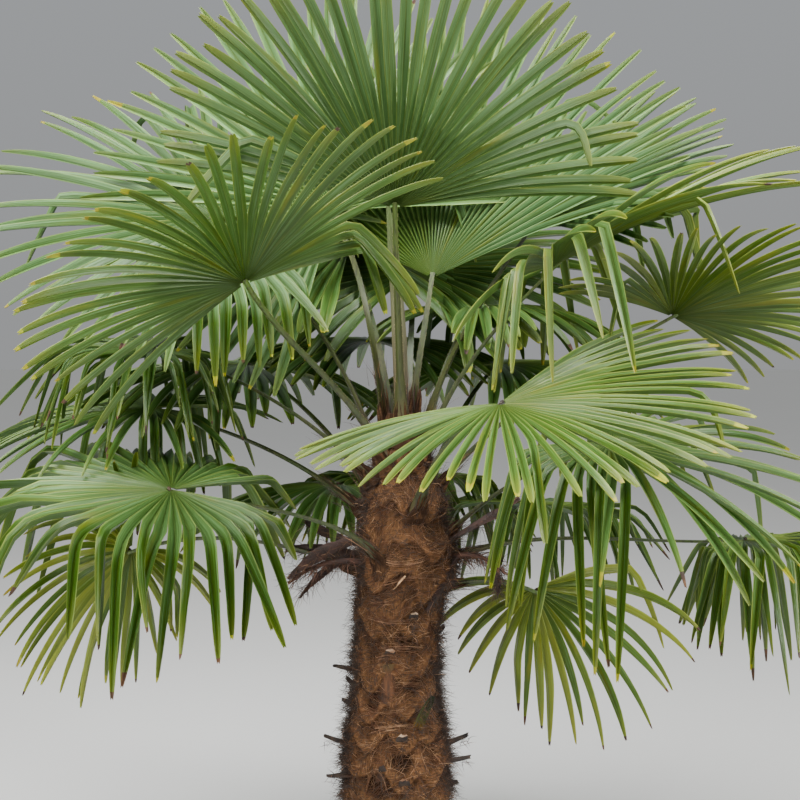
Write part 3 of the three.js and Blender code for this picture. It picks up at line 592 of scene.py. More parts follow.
def leaf_material(name, green, warm, pale, hub, glow, gloss, through):
    """One side of a leaf. It runs from green to a warm green by how warm the frond is, and to a
    pale one by its tone. Glow is the colour of the light that comes through it, and through is
    its share."""
    material, tree, shader = new_material(name)
    share, across, luck, warmth, tone = (attribute(tree, key)
                                         for key in ("share", "across", "luck", "warm", "tone"))

    def warmed(value):
        return calculated(tree, "MULTIPLY", value, warmth)

    out = calculated(tree, "ABSOLUTE", across)
    streaks = streaks_of(tree, luck, across, share, 16, 0)
    blotches = streaks_of(tree, luck, across, share, 2, 7)
    dark = tuple(c * 0.45 for c in green)
    base = mixed(tree, warmth, green, warm)
    base = over(tree, base, warm, luck, 0.0, 1.0, 0.0, 0.35)
    base = mixed(tree, tone, base, pale)
    base = over(tree, base, linear(158, 162, 0), warmth, 0.9, 2.2, 0.0, 0.9)
    # Painted shade: a tone below nought, which the hanging parts get, darkens the leaf.
    base = over(tree, base, dark, tone, 0.0, -1.0)
    base = over(tree, base, hub, share, 0.0, 0.34, 0.75, 0.0)
    # Streaks along the leaflets: partly their fine veins, and partly painted sheen and shade on the
    # fine pleats, dark ones and pale ones.
    base = over(tree, base, dark, streaks, 0.42, 0.66, 0.0, 0.65)
    base = over(tree, base, pale, streaks, 0.46, 0.32, 0.0, 0.5)
    base = mixed(tree, warmed(remap(tree, blotches, 0.58, 0.72)), base, linear(132, 132, 8))
    base = mixed(tree, warmed(remap(tree, share, 0.8, 1.05)), base, linear(146, 146, 6))
    # Painted shade: darker down the middle of each leaflet, in the valley of its fold.
    base = over(tree, base, dark, out, 0.05, 0.7, 0.55, 0.0)
    base = over(tree, base, linear(140, 158, 74), out, 0.0, 0.1, 0.3, 0.0)
    # Paler, yellower margins: partly the leaf's own yellowing edges, and partly a painted highlight
    # on the ridges of the pleats.
    base = mixed(tree, warmed(remap(tree, out, 0.84, 1.0, 0.1, 1.0)), base, linear(178, 190, 84))
    finish(tree, shader, base, gloss, (streaks, 0.6, 0.0016), 0.4)
    beyond = tree.nodes.new("ShaderNodeBsdfTranslucent")
    beyond.inputs["Color"].default_value = (*glow, 1)
    mix = tree.nodes.new("ShaderNodeMixShader")
    mix.inputs["Fac"].default_value = through
    tree.links.new(shader.outputs["BSDF"], mix.inputs[1])
    tree.links.new(beyond.outputs["BSDF"], mix.inputs[2])
    tree.links.new(mix.outputs["Shader"], tree.nodes["Material Output"].inputs["Surface"])
    return material


def plain_material(name, colour, other, gloss=0.55):
    """A material in nearly one colour, such as that of a leaf's tip or of a fibre."""
    material, tree, shader = new_material(name)
    base = mixed(tree, remap(tree, noise_of(tree, 40.0, 2), 0.35, 0.65), colour, other)
    finish(tree, shader, base, gloss)
    return material


def leaf_looks(settings):
    """A blade's materials: upper side, underside, yellow tip, dry tip and the crest at the hub."""
    glow = settings.light_through
    return [
        leaf_material("leaf_upper", settings.upper_green, linear(76, 122, 2), linear(132, 180, 122),
                      linear(60, 92, 18), glow, gloss=0.3, through=0.26),
        leaf_material("leaf_under", settings.under_green, linear(76, 116, 4), linear(128, 172, 122),
                      linear(40, 63, 12), glow, gloss=0.36, through=0.3),
        plain_material("leaf_yellow_tip", settings.tip_yellow, linear(138, 124, 6)),
        plain_material("leaf_dry_tip", linear(92, 62, 36), linear(52, 38, 30), 0.8),
        plain_material("leaf_heart", linear(72, 54, 30), linear(40, 30, 20)),
    ]


# The frond rule

def fronds():
    """Every frond, with the three directions of its blade worked out."""
    rows = list(FRONDS)
    for name, age, azimuths, out, height, tilt, reach, root_height in BACK_TIERS:
        for i, azimuth in enumerate(azimuths):
            lift = BACK_STEP * (i % 2)
            hub = level_way(azimuth) * out + np.array([0, 0, height + lift])
            rows.append((f"{name}_{i + 1}", age, hub, (azimuth, tilt), 0, reach,
                         (azimuth, root_height + lift / 2), BACK_TONE, {}))
    made = []
    for index, (name, age, hub, aim, roll, reach, root, tone, own) in enumerate(rows):
        frond = {**HABITS, **AGES[age], "name": name, "age": age, "reach": reach, "root": root,
                 "tone": tone, "index": index, "hub": np.array(hub, float), **own}
        along = heading(*map(math.radians, aim))
        level = unit(np.cross(along, [0, 0, 1]))
        side = turned(level, along, np.array(math.radians(roll)))
        frond.update(along=along, side=side, up=np.cross(side, along))
        frond["folds"] = frond["fold"] > 0
        parted = frond["fold_at"] * frond["joined"] if frond["folds"] else frond["parted"]
        frond["parts_at"] = reach * parted
        made.append(frond)
    return made


def fan_angles(frond, places):
    """Angles from the middle of the fan at places counted in leaflets from its first margin."""
    turn, spread = math.radians(frond["turn"]), math.radians(frond["spread"])
    return turn + spread * (places / frond["count"] - 0.5)


def leaflet_length(frond, angles):
    """Leaflets are longest at the middle of the fan, and a little longer on one side of it."""
    whole = frond["reach"] * lerp(frond["shortest"], 1, np.cos(angles / 2) ** 2)
    return whole * (1 + frond["skew"] * np.sin(angles))


def sharp_bend(share, at, ease):
    """The bending rate of a fold that turns by one in all."""
    return (smooth(share, at - ease, at) - smooth(share, at, at + ease)) / ease


def bend_rate(frond, share, angles, habits=None):
    """How fast leaflets bend down at a share of their length. The outer ones droop more."""
    outer = 1 + frond["wing"] * smooth(np.abs(angles), *WING_ANGLES)
    droop = frond["droop"] * outer * (1 + DROOP_POWER) * share ** DROOP_POWER
    if habits is None:
        return droop + frond["fold"] * sharp_bend(share, frond["fold_at"], FOLD_EASE)
    free = smooth(share, *PARTED)
    droop = droop * lerp(1, habits["droop"], free) + 3 * habits["slump"] * smooth(share, 0.7, 1)
    fold_at = frond["fold_at"] + habits["fold_at"]
    fold = habits["fold"] * sharp_bend(share, fold_at, habits["fold_ease"])
    crease = habits["crease"] * sharp_bend(share, habits["crease_at"], habits["crease_ease"])
    return droop + frond["fold"] * fold + crease


def follow(frond, angles, habits=None):
    """Walks out along leaflets at angles of the fan, and gives their points and directions at even
    steps, with the leaflets' own lengths."""
    c, s = np.cos(angles)[:, None], np.sin(angles)[:, None]
    start = unit(c * frond["along"] + s * frond["side"] + frond["cup"] * s ** 2 * frond["up"])
    across = c * frond["side"] - s * frond["along"]
    normal = unit(np.cross(across, start))
    across = np.cross(start, normal)
    azimuth = np.arctan2(start[:, 1], start[:, 0])
    first = np.arcsin(start[:, 2])
    length = leaflet_length(frond, angles)
    point, elevation = np.repeat(frond["hub"][None], len(angles), 0), first
    points, turns = [point], [np.zeros(len(angles))]
    for k in range(WALK_STEPS):
        rate = bend_rate(frond, k / WALK_STEPS, angles, habits)
        elevation = elevation - rate * np.cos(elevation) / WALK_STEPS
        point = point + heading(azimuth, elevation) * (length / WALK_STEPS)[:, None]
        points.append(point)
        turns.append(elevation - first)
    axis = np.stack([np.sin(azimuth), -np.cos(azimuth), np.zeros(len(angles))], axis=1)
    turns = np.array(turns)
    ups = np.array([turned(normal, axis, turn) for turn in turns])
    sides = np.array([turned(across, axis, turn) for turn in turns])
    return {"points": np.array(points), "ups": ups, "sides": sides, "length": length}


def sampled(track, key, arcs):
    """A track's points or directions at arcs, one row for each stop and one column a leaflet."""
    place = np.clip(arcs / track["length"] * WALK_STEPS, 0, WALK_STEPS - 1e-6)
    low = place.astype(int)
    part = (place - low)[..., None]
    columns = np.arange(arcs.shape[1])[None]
    return track[key][low, columns] * (1 - part) + track[key][low + 1, columns] * part


def leaflet_habits(frond, angles):
    """What each leaflet does on its own once it has parted: how it droops, folds and strays."""
    numbers = np.arange(len(angles))
    index, loose, stray = frond["index"], frond["loose"], frond["stray"]

    def luck(seed, low, high):
        return lerp(low, high, chance(numbers + 0.5, index * 1.7 + seed))

    flat = not frond["folds"]
    outer = np.abs(angles) > math.radians(frond["hang_from"])
    hung = outer & (angles * frond["hang_side"] >= 0) & (luck(12, 0, 1) < frond["hang"]) & flat
    creased = (luck(3, 0, 1) < frond["creased"]) & flat
    parted = frond["parts_at"] / leaflet_length(frond, angles) * (1 + PART_STRAY)
    hang_at = np.maximum(parted + luck(7, 0.02, 0.12), frond["hang_at"] + luck(7, -0.07, 0.07))
    return {
        "luck": luck(1, 0, 1),
        "droop": 1 + loose * luck(2, -0.2, 0.25),
        "fold": luck(4, frond["stiffest"], 1.15),
        "fold_at": luck(5, -0.03, 0.15), "fold_ease": luck(13, 0.07, 0.16),
        "crease": np.where(hung, luck(6, 1.0, 1.8), creased * luck(6, 1.1, 2.3)),
        "crease_at": np.where(hung, hang_at, luck(7, 0.5, 0.82)),
        "crease_ease": luck(14, 0.04, 0.13),
        "slump": loose * luck(8, 0.0, 0.2),
        "stray": stray * luck(9, -1, 1), "lift": stray * luck(10, -1, 1),
        "twist": frond["twist"] * luck(11, -1, 1), "hung": hung,
    }


def blade_width(frond, share):
    """How wide a free leaflet is along its length, beside its width where it parts."""
    blunt = np.interp(share, *BLUNT_LEAFLET)
    pointed = np.interp(share, *POINTED_LEAFLET)
    return lerp(pointed, blunt, frond["blunt"])


def margin_line(frond, track, rim, arcs, whole, parts, corner, sign):
    """A leaflet's margin on one side, and the depth of its fold there. Up to the parting it is the
    ridge that the leaflet shares with its neighbour, and from there it is the leaflet's own."""
    point, up, side = track
    half = math.radians(frond["spread"]) / frond["count"] / 2
    parting = parts[corner]
    joined = arcs * math.tan(half)
    beyond = np.clip((arcs - parting) / (whole - parting), 0, 1)
    full = max(frond["parts_at"], WIDEST_FROM * frond["reach"])
    widest = lerp(parting, full, WIDENING * smooth(beyond, 0, 0.35))
    lamina = widest * math.tan(half) / math.cos(frond["pleat"])
    tip = lerp(*TIP_SLOPES, frond["blunt"])
    gape = frond["gape"]
    slope = frond["pleat"] * np.interp(beyond, (0, 0.25, 0.7, 1), (1, gape, gape, tip))
    width = lamina * blade_width(frond, beyond)
    own = point + side * (sign * width * np.cos(slope))[..., None]
    shared_track = {"points": rim["points"][:, corner], "length": rim["length"][corner]}
    shared = sampled(shared_track, "points", arcs)
    free = arcs > parting
    depth = np.where(free, width * np.sin(slope), joined * math.tan(frond["pleat"]))
    line = np.where(free[..., None], own, shared) + up * (depth * RIDGE_SHARE)[..., None]
    return line, depth


def leaflet_skins(frond):
    """The upper and lower skin of every leaflet as a grid of points, with each one's own values."""
    numbers, corners = np.arange(frond["count"]), np.arange(frond["count"] + 1)
    middles, edges = fan_angles(frond, numbers + 0.5), fan_angles(frond, corners)
    habits = leaflet_habits(frond, middles)
    stray = lerp(1 - PART_STRAY, 1 + PART_STRAY, chance(corners, frond["index"] + 7))
    parts = frond["parts_at"] * stray * (1 + frond["lopsided"] * np.sin(edges))
    mid = follow(frond, middles, habits)
    rim = follow(frond, edges)
    shorter = frond["ragged"] * chance(numbers, frond["index"]) ** 2
    whole = leaflet_length(frond, middles) * (1 - shorter)
    near, far = np.minimum(parts[:-1], parts[1:]), np.maximum(parts[:-1], parts[1:])
    inner = np.linspace(0, 1, UNITED_STATIONS) ** INNER_EASE
    outer = 1 - (1 - np.linspace(0, 1, FREE_STATIONS)) ** OUTER_EASE
    arcs = np.array([lerp(HUB_RADIUS, near, share) for share in inner]
                    + [lerp(far + PARTING_GAP, whole, share) for share in outer])
    point, up, side = (sampled(mid, key, arcs) for key in ("points", "ups", "sides"))
    track = (point, up, side)
    left, left_depth = margin_line(frond, track, rim, arcs, whole, parts, numbers, -1)
    right, right_depth = margin_line(frond, track, rim, arcs, whole, parts, numbers + 1, 1)
    depth = (left_depth + right_depth) / 2
    keel = point - up * (depth * (1 - RIDGE_SHARE))[..., None]
    way = np.cross(up, side)
    keel[-1] -= way[-1] * TIP_NOTCH
    swell = up * (depth * SWELL)[..., None]
    rows = np.stack([left, (left + keel) / 2 + swell, keel, (right + keel) / 2 + swell, right],
                    axis=2)
    past = np.maximum(arcs - far, 0)
    twist = habits["twist"] * past / whole
    shift = side * (habits["stray"] * past)[..., None] + up * (habits["lift"] * past)[..., None]
    arm = rows - point[:, :, None]
    rows = point[:, :, None] + turned(arm, way[:, :, None], twist[..., None]) + shift[:, :, None]
    rib = np.zeros(COLUMNS)
    rib[COLUMNS // 2] = RIB_THICKNESS
    taper = np.clip(1 - arcs / whole, 0.1, 1)[..., None]
    under = rows - up[:, :, None] * (LEAF_THICKNESS + rib * taper)[..., None]
    skins = np.stack([rows, under], axis=2).transpose(1, 0, 2, 3, 4)
    return skins, (arcs / whole).T, habits


def leaflet_faces(count, stations):
    """Faces of all leaflets and the side each is on: the upper and lower skin, the two margins, the
    tip and the hub end."""
    numbers = np.arange(count * stations * 2 * COLUMNS).reshape(count, stations, 2, COLUMNS)
    top, low = numbers[:, :, 0], numbers[:, :, 1]
    parts = [
        (UPPER, top[:, :-1, :-1], top[:, :-1, 1:], top[:, 1:, 1:], top[:, 1:, :-1]),
        (UNDER, low[:, :-1, :-1], low[:, 1:, :-1], low[:, 1:, 1:], low[:, :-1, 1:]),
        (UPPER, top[:, :-1, :1], top[:, 1:, :1], low[:, 1:, :1], low[:, :-1, :1]),
        (UPPER, top[:, :-1, -1:], low[:, :-1, -1:], low[:, 1:, -1:], top[:, 1:, -1:]),
        (UPPER, top[:, -1:, :-1], top[:, -1:, 1:], low[:, -1:, 1:], low[:, -1:, :-1]),
        (UNDER, top[:, :1, :-1], low[:, :1, :-1], low[:, :1, 1:], top[:, :1, 1:]),
    ]
    faces = [np.stack(corners, axis=-1).reshape(-1, 4) for _, *corners in parts]
    sides = [np.full(len(part), side) for part, (side, *_) in zip(faces, parts)]
    return np.concatenate(faces), np.concatenate(sides)


def add_leaflets(mesher, frond):
    """The blade of a frond: pleated and joined near the hub, and parted into folded leaflets."""
    skins, shares, habits = leaflet_skins(frond)
    count, stations = shares.shape
    numbers = np.arange(count)
    ripe = chance(numbers, frond["index"] + 17) < frond["ripe"]
    dry = chance(numbers, frond["index"] + 23) < frond["dry"]
    length = 1 + (chance(numbers, frond["index"] + 29) < 0.2)
    faces, looks = leaflet_faces(count, stations)
    leaflet, station = np.divmod(faces[:, 0] // (2 * COLUMNS), stations)
    at_tip = station >= stations - 1 - length[leaflet]
    looks = np.where(at_tip & ripe[leaflet], YELLOW_TIP, looks)
    looks = np.where(at_tip & dry[leaflet], DRY_TIP, looks)
    sides = np.sin(fan_angles(frond, numbers + 0.5))
    # Painted highlight: the leaflets on one side of the fan are paler, where the light catches
    # them.
    tone = np.clip(frond["tone"] + frond["side_sheen"] * sides, 0, 1)
    warm = frond["warm"] + frond["sere"] * chance(numbers, frond["index"] + 37) ** 2
    # Painted shade: the hanging parts of the leaflets lose their pale tone and get a tone below
    # nought, which the leaf material paints darker; a negative share paints them paler.
    if frond["folds"]:
        hung = smooth(shares, frond["fold_at"], frond["fold_at"] + 0.2)
    else:
        bend = habits["crease_at"][:, None]
        hung = habits["hung"][:, None] * smooth(shares, bend, bend + 0.15)
    tone = tone[:, None] * (1 - hung) - frond["hang_shade"] * hung
    shape = skins.shape[:-1]
    values = {"share": shares[:, :, None, None], "across": np.linspace(-1, 1, COLUMNS),
              "luck": habits["luck"][:, None, None, None], "tone": tone[:, :, None, None],
              "warm": warm[:, None, None, None]}
    values = {key: np.broadcast_to(value, shape).ravel() for key, value in values.items()}
    mesher.add(skins, faces, looks, **values)


def add_heart(mesher, frond):
    """The small raised crest where the stalk meets the blade's upper side."""
    turn = np.linspace(-1.35, 1.35, 9)
    rings = []
    for out, rise in ((12, 0), (13, 4), (9, 7), (3, 5), (1, 0)):
        away = np.cos(turn)[:, None] * frond["along"] * 0.8 + np.sin(turn)[:, None] * frond["side"]
        lift = frond["up"] * (rise * np.cos(turn) ** 2 + 1)[:, None]
        rings.append(frond["hub"] + away * out + lift)
    mesher.add(np.array(rings), grid_faces(len(rings), len(turn)), HEART)


def nodes_of(name):
    """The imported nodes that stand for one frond."""
    return [node for node in frame["nodes"]
            if node == f"frond_{name}" or node.startswith(f"frond_{name}_skirt")]


def make_blades(settings):
    looks = leaf_looks(settings)
    slots = {row["node"]: row["material_slot"] for row in frame["record"]["subparts"]}
    for frond in fronds():
        mesher = Mesher()
        add_leaflets(mesher, frond)
        if frond["age"] != "young":
            add_heart(mesher, frond)
        name = frond["name"]
        mesher.build(f"blade_{name}", looks, slots[f"frond_{name}"], *nodes_of(name), sharp=0.5)


# Stalks

def stalk_path(frond, steps=STALK["steps"]):
    """The stalk's middle line, from inside the trunk to just past the hub."""
    azimuth, height = frond["root"]
    outward = level_way(azimuth)
    start = outward * value_at(TRUNK_RADIUS, height) * ROOTED
    start[0] += value_at(TRUNK_LEAN, height)
    start[2] = height
    end = frond["hub"] + frond["along"] * 14
    chord = end - start
    length = np.linalg.norm(chord)
    chord = chord / length
    rise = min(math.asin(chord[2]) + frond["lift"], STALK["steepest"])
    set_off = outward * math.cos(rise) + np.array([0, 0, math.sin(rise)])
    arrive = unit(chord + frond["along"])
    pull = length * STALK["pull"]
    return bezier([start, start + set_off * pull, end - arrive * pull, end], steps), outward


def surfacing(frond, path, depth):
    """The first stop of a stalk's path that lies less than a depth inside the trunk."""
    out = np.linalg.norm(path[:, :2], axis=1)
    return int(np.argmax(out > value_at(TRUNK_RADIUS, frond["root"][1]) - depth))


# Half-round, with a flat top that is a little hollow
STALK_OUTLINE = [(-1, 0.25), (-0.94, -0.1), (-0.7, -0.6), (-0.3, -0.92), (0.0, -1.0), (0.3, -0.92),
                 (0.7, -0.6), (0.94, -0.1), (1, 0.25), (0.6, 0.3), (0.0, 0.12), (-0.6, 0.3)]


def add_stalk(mesher, frond, waist):
    path, outward = stalk_path(frond)
    steps = len(path)
    share = np.linspace(0, 1, steps)
    level = unit(np.cross(outward, [0, 0, 1]))
    blend = smooth(share, 0.2, 0.9)[:, None]
    across = unit(level * (1 - blend) + frond["side"] * blend)
    widths = np.interp(share, STALK_SHARES, (*STALK_FOOT, waist, *STALK_END))
    depths = np.interp(share, STALK_SHARES, STALK_DEPTHS)
    add_tube(mesher, path, widths, depths, STALK_OUTLINE[::-1], across, tone=frond["tone"])
    add_teeth(mesher, frond, path, across, widths, share)


def add_teeth(mesher, frond, path, across, widths, share):
    """Small teeth along both edges of a stalk."""
    way = unit(np.gradient(path, axis=0))
    lift = np.cross(across, way)
    span = np.linalg.norm(np.diff(path, axis=0), axis=1).sum()
    low, high = TEETH["shares"]
    count = int(span * (high - low) / TEETH["step"])
    half = TEETH["half"]
    for sign in (-1, 1):
        at = lerp(low, high, (np.arange(count) + chance(np.arange(count), frond["index"])) / count)
        point, out, ahead, over = (read_at(at, share, values)
                                   for values in (path, across, way, lift))
        edge = np.interp(at, share, widths)[:, None]
        base = point + out * sign * (edge - 0.5) + over * edge * 0.16
        tooth = half + TEETH["rise"] * chance(np.arange(count), sign + 3)[:, None]
        corners = np.stack([base - ahead * half, base + ahead * half, base - over * TEETH["rise"],
                            base + out * sign * tooth + ahead * half / 2], axis=1)
        rows = np.arange(count)[:, None] * 4
        order = [(0, 1, 3), (1, 2, 3), (2, 0, 3)] if sign < 0 else [(1, 0, 3), (2, 1, 3), (0, 2, 3)]
        faces = np.concatenate([rows + np.array(face)[None] for face in order])
        mesher.add(corners, faces, 1)


def stalk_material():
    material, tree, shader = new_material("stalk_green")
    share = attribute(tree, "share")
    base = ramp(tree, share, [(0.0, linear(84, 52, 30)), (0.1, linear(84, 72, 32)),
                              (0.2, linear(48, 62, 18)), (0.7, linear(52, 74, 22)),
                              (1.0, linear(76, 100, 30))])
    base = over(tree, base, linear(96, 84, 48), attribute(tree, "tone"), 0.3, 1.0, 0.0, 0.45)
    streaks = noise_of(tree, 30.0, 4, (1, 1, 0.2))
    base = over(tree, base, linear(88, 78, 44), streaks, 0.4, 0.75, 0.0, 0.5)
    stripes = noise_of(tree, 120.0, 3, (1.4, 1.4, 0.05), seed=4)
    base = over(tree, base, linear(36, 36, 16), stripes, 0.48, 0.62, 0.0, 0.65)
    finish(tree, shader, base, 0.45, (streaks, 0.3, 0.001))
    return material


def make_stalks(settings):
    mesher = Mesher()
    waist = settings.stalk_width / MM / 2
    for frond in fronds():
        add_stalk(mesher, frond, waist)
    looks = [stalk_material(),
             plain_material("stalk_teeth", linear(150, 140, 95), linear(110, 100, 60))]
    mesher.build("stalks", looks, "open_leaf", sharp=0.9)


# Trunk

def trunk_middle(height):
    return np.array([value_at(TRUNK_LEAN, min(max(height, 0), TRUNK_HEIGHT)), 0, height])


def relief(azimuth, height):
    """How far the matted fibre stands out from the bare trunk at a place: the drooping lower edges
    of the old sheaths, lumps, diagonal strands and the hollows under the cut stubs."""
    x, y = math.cos(azimuth), math.sin(azimuth)
    wander = noise.noise(Vector((x * 1.9, y * 1.9, height / LEDGES["long"]))) * LEDGES["wander"]
    part = (height + wander) / LEDGES["step"] % 1
    ledge = min(part / LEDGES["lip"], 1) * (1 - part) ** 1.2
    lumps = noise.fractal(Vector((x * 3.2, y * 3.2, height / LUMPS["tall"])), 1.0, 2.0, 3)
    slant = height / WEAVE["tall"]
    level = height / WEAVE["long"]
    weave = noise.noise(Vector((azimuth * 9 + slant, level, 1.7)))
    weave += noise.noise(Vector((azimuth * 9 - slant, level, 7.1)))
    hollow = 0
    for turn, middle, wide, tall, deep in HOLLOWS:
        if abs(height - middle) < 3 * tall:
            aside = math.sin((math.radians(turn) - azimuth) / 2) * 2 * MEAN_RADIUS / wide
            hollow += deep * math.exp(-aside ** 2 - ((height - middle) / tall) ** 2)
    return LEDGES["out"] * ledge + LUMPS["out"] * lumps + WEAVE["out"] * weave - hollow - MAT_INSET


def trunk_surface(azimuth, height, lift=0.0):
    radius = value_at(TRUNK_RADIUS, height) + lift
    return trunk_middle(height) + heading(azimuth, 0.0) * radius


def make_trunk(settings):
    sides, rings = TRUNK_MESH["sides"], TRUNK_MESH["rings"]
    depth = settings.relief_depth / RELIEF_DEPTH
    points, hollows = [], []
    for ring in range(rings + 1):
        height = TRUNK_HEIGHT * ring / rings
        foot = float(smooth(height, 0, TRUNK_MESH["flat_foot"]))
        shade = CROWN_SHADE["depth"] * float(smooth(height, *CROWN_SHADE["heights"]))
        for k in range(sides):
            azimuth = k / sides * 2 * math.pi
            out = relief(azimuth, height) * foot * depth
            points.append(trunk_surface(azimuth, height, out))
            hollows.append(out + MAT_INSET - shade)
    points += [trunk_middle(0), trunk_middle(TRUNK_HEIGHT)]
    hollows += [0, -CROWN_SHADE["depth"]]
    mesher = Mesher()
    # The depth value is for painted shade: it is low where the mat sinks in and under the crown,
    # and the material darkens the mat by it.
    mesher.add(points, tube_faces(rings + 1, sides), depth=np.array(hollows) / 10)
    mesher.build("trunk_mat", [trunk_material(settings)], "trunk_fibre", "trunk", sharp=1.2)


def trunk_material(settings):
    material, tree, shader = new_material("fibre_mat")
    level = noise_of(tree, 150.0, 4, (0.35, 0.35, 2.2))
    upright = noise_of(tree, 150.0, 4, (2.0, 2.0, 0.3), seed=5)
    patch = remap(tree, noise_of(tree, 22.0, 3, seed=9), 0.4, 0.6)
    fine = mixed(tree, patch, level, upright)
    broad = noise_of(tree, 14.0, 3, seed=2)
    dark = tuple(c * 0.3 for c in settings.fibre_colour)
    base = mixed(tree, remap(tree, fine, 0.36, 0.62), dark, tuple(settings.fibre_colour))
    base = over(tree, base, tuple(settings.strand_colour), fine, 0.6, 0.74, 0.0, 0.7)
    base = over(tree, base, linear(140, 94, 66), broad, 0.5, 0.75, 0.0, 0.35)
    # Painted shade: darker where the depth value is low, in the hollows and folds of the mat and
    # under the crown.
    base = over(tree, base, linear(34, 22, 16), attribute(tree, "depth"), -0.3, 0.7, 0.85, 0.0)
    finish(tree, shader, base, 0.95, (fine, 0.8, 0.003), 0.15)
    return material


def add_sleeve(mesher, frond):
    """The fibrous sheath round a stalk's foot, frayed at its upper edge."""
    path, outward = stalk_path(frond, 60)
    arc = np.concatenate([[0], np.cumsum(np.linalg.norm(np.diff(path, axis=0), axis=1))])
    leaves = arc[surfacing(frond, path, 30)]
    rings, sides = SLEEVE["rings"], SLEEVE["sides"]
    share = np.linspace(0, 1, rings)
    turn = np.arange(sides) / sides * 2 * math.pi
    length = SLEEVE["length"] * lerp(0.75, 1.25, float(chance(frond["index"], 51)))
    rough = np.array([[noise.noise(Vector((math.cos(t) * 1.6, math.sin(t) * 1.6,
                                           s * 3 + frond["index"] * 5.3)))
                       for t in turn] for s in share])
    torn = chance(np.arange(sides), frond["index"] + 61) * 0.7 + 0.4
    stops = leaves + share[:, None] * length * lerp(1, torn, share[:, None])
    middle = read_at(stops, arc, path)
    way = read_at(stops, arc, np.gradient(path, axis=0))
    side = unit(np.cross(outward, [0, 0, 1.0]))
    up = np.cross(side, unit(way))
    fray = 1 + rough * np.interp(share, (0, 1), (0.3, 0.7))[:, None]
    eased = share[:, None] ** 0.7
    wide = lerp(SLEEVE["foot"][0], SLEEVE["neck"][0], eased) * fray * np.cos(turn)
    deep = lerp(SLEEVE["foot"][1], SLEEVE["neck"][1], eased) * fray * np.sin(turn)
    points = middle + side * wide[..., None] - up * deep[..., None]
    # Painted shade: the sheath gets a low depth value, lowest where its frayed surface sinks in,
    # and the mat's material paints it darker there.
    mesher.add(points, grid_faces(rings, sides, closed=True), depth=rough.ravel() - 0.35)


def make_sleeves(settings):
    mesher = Mesher()
    for frond in fronds():
        add_sleeve(mesher, frond)
    mesher.build("sheaths", [trunk_material(settings)], "trunk_fibre", sharp=1.2)


def strand(mesher, path, radius, look):
    """One fibre: a three-sided tube that thins out towards its end."""
    path = np.asarray(path, float)
    way = unit(np.gradient(path, axis=0))
    helper = np.where(np.abs(way[:, 2:]) > 0.8, [[1.0, 0, 0]], [[0, 0, 1.0]])
    across = unit(np.cross(way, helper))
    up = np.cross(across, way)
    radii = radius * np.linspace(1, STRAND_TAPER, len(path))
    turn = np.arange(3) / 3 * 2 * math.pi
    ring = (across[:, None] * np.cos(turn)[None, :, None]
            + up[:, None] * np.sin(turn)[None, :, None])
    points = (path[:, None] + ring * radii[:, None, None])[:-1].reshape(-1, 3)
    faces = [grid_faces(len(path) - 1, 3, closed=True), cap_faces(3, len(points) - 3, len(points))]
    mesher.add(np.concatenate([points, path[-1:]]), faces, look)


def lie(azimuth, height):
    """Which way the matted fibres lie at a place on the trunk, as an angle above level."""
    x, y = math.cos(azimuth), math.sin(azimuth)
    return 2.6 * noise.noise(Vector((x * 1.5, y * 1.5, height / 130)) + Vector((3.1, 0.4, 8.2)))


def trunk_strands(rng, count):
    """Paths of fibres that lie matted over the trunk, most of them along the flow of the mat."""
    for _ in range(count):
        height = lerp(*MATTED["heights"], rng.random() ** 0.85)
        azimuth = rng.uniform(0, 2 * math.pi)
        stray = rng.gauss(0, 0.45)
        length = rng.uniform(*MATTED["lengths"])
        turn = rng.uniform(-0.3, 0.3)
        sign = rng.choice((-1, 1))
        bow = rng.uniform(0, MATTED["bow"])
        path = []
        for k in range(STRAND_POINTS):
            radius = value_at(TRUNK_RADIUS, height)
            rise = bow * math.sin(math.pi * k / (STRAND_POINTS - 1))
            lift = max(relief(azimuth, height), -MAT_INSET - 3) + 0.6 + rise
            path.append(trunk_surface(azimuth, height, lift))
            angle = lie(azimuth, height) + stray
            azimuth += sign * math.cos(angle) * length / STRAND_POINTS / radius
            height += sign * math.sin(angle) * length / STRAND_POINTS
            height = min(max(height, 6), TRUNK_HEIGHT - 20)
            stray += turn
        yield path, rng.random()


def stray_by(rng, level, upright, drop=0.0):
    """A random step of about the given sizes, sideways and upward."""
    return np.array([rng.gauss(0, level), rng.gauss(0, level), rng.gauss(drop, upright)])


def hair(rng, point, way, kind):
    """One hair's path from a point, which strays as it goes and sinks a little."""
    lengths, points, stray = HAIR[kind]
    length = rng.uniform(*lengths)
    path = []
    for _ in range(points):
        path.append(point)
        point = point + way * length / (points - 1)
        point[2] = max(point[2], 3)
        turn = [rng.gauss(0, stray), rng.gauss(0, stray), rng.uniform(-2, 0.5) * stray]
        way = unit(way + np.array(turn))
    return path


def loose_strands(rng, count):
    """Paths of short fibres that stand off the trunk like whiskers. The front has fewer, because
    there they have been rubbed off, and its two sides have more."""
    for _ in range(count):
        height = rng.uniform(*LOOSE["heights"])
        azimuth = rng.uniform(0, 2 * math.pi)
        if math.sin(azimuth) < -0.5 and rng.random() < LOOSE["aside"]:
            azimuth = rng.choice((rng.uniform(*LOOSE["right"]), rng.uniform(*LOOSE["left"])))
        point = trunk_surface(azimuth, height, relief(azimuth, height) - 1)
        way = heading(azimuth + rng.uniform(-1.2, 1.2), rng.uniform(-0.8, 0.9))
        kind = "short" if rng.random() < LOOSE["shorts"] else "long"
        yield hair(rng, point, way, kind), rng.random()


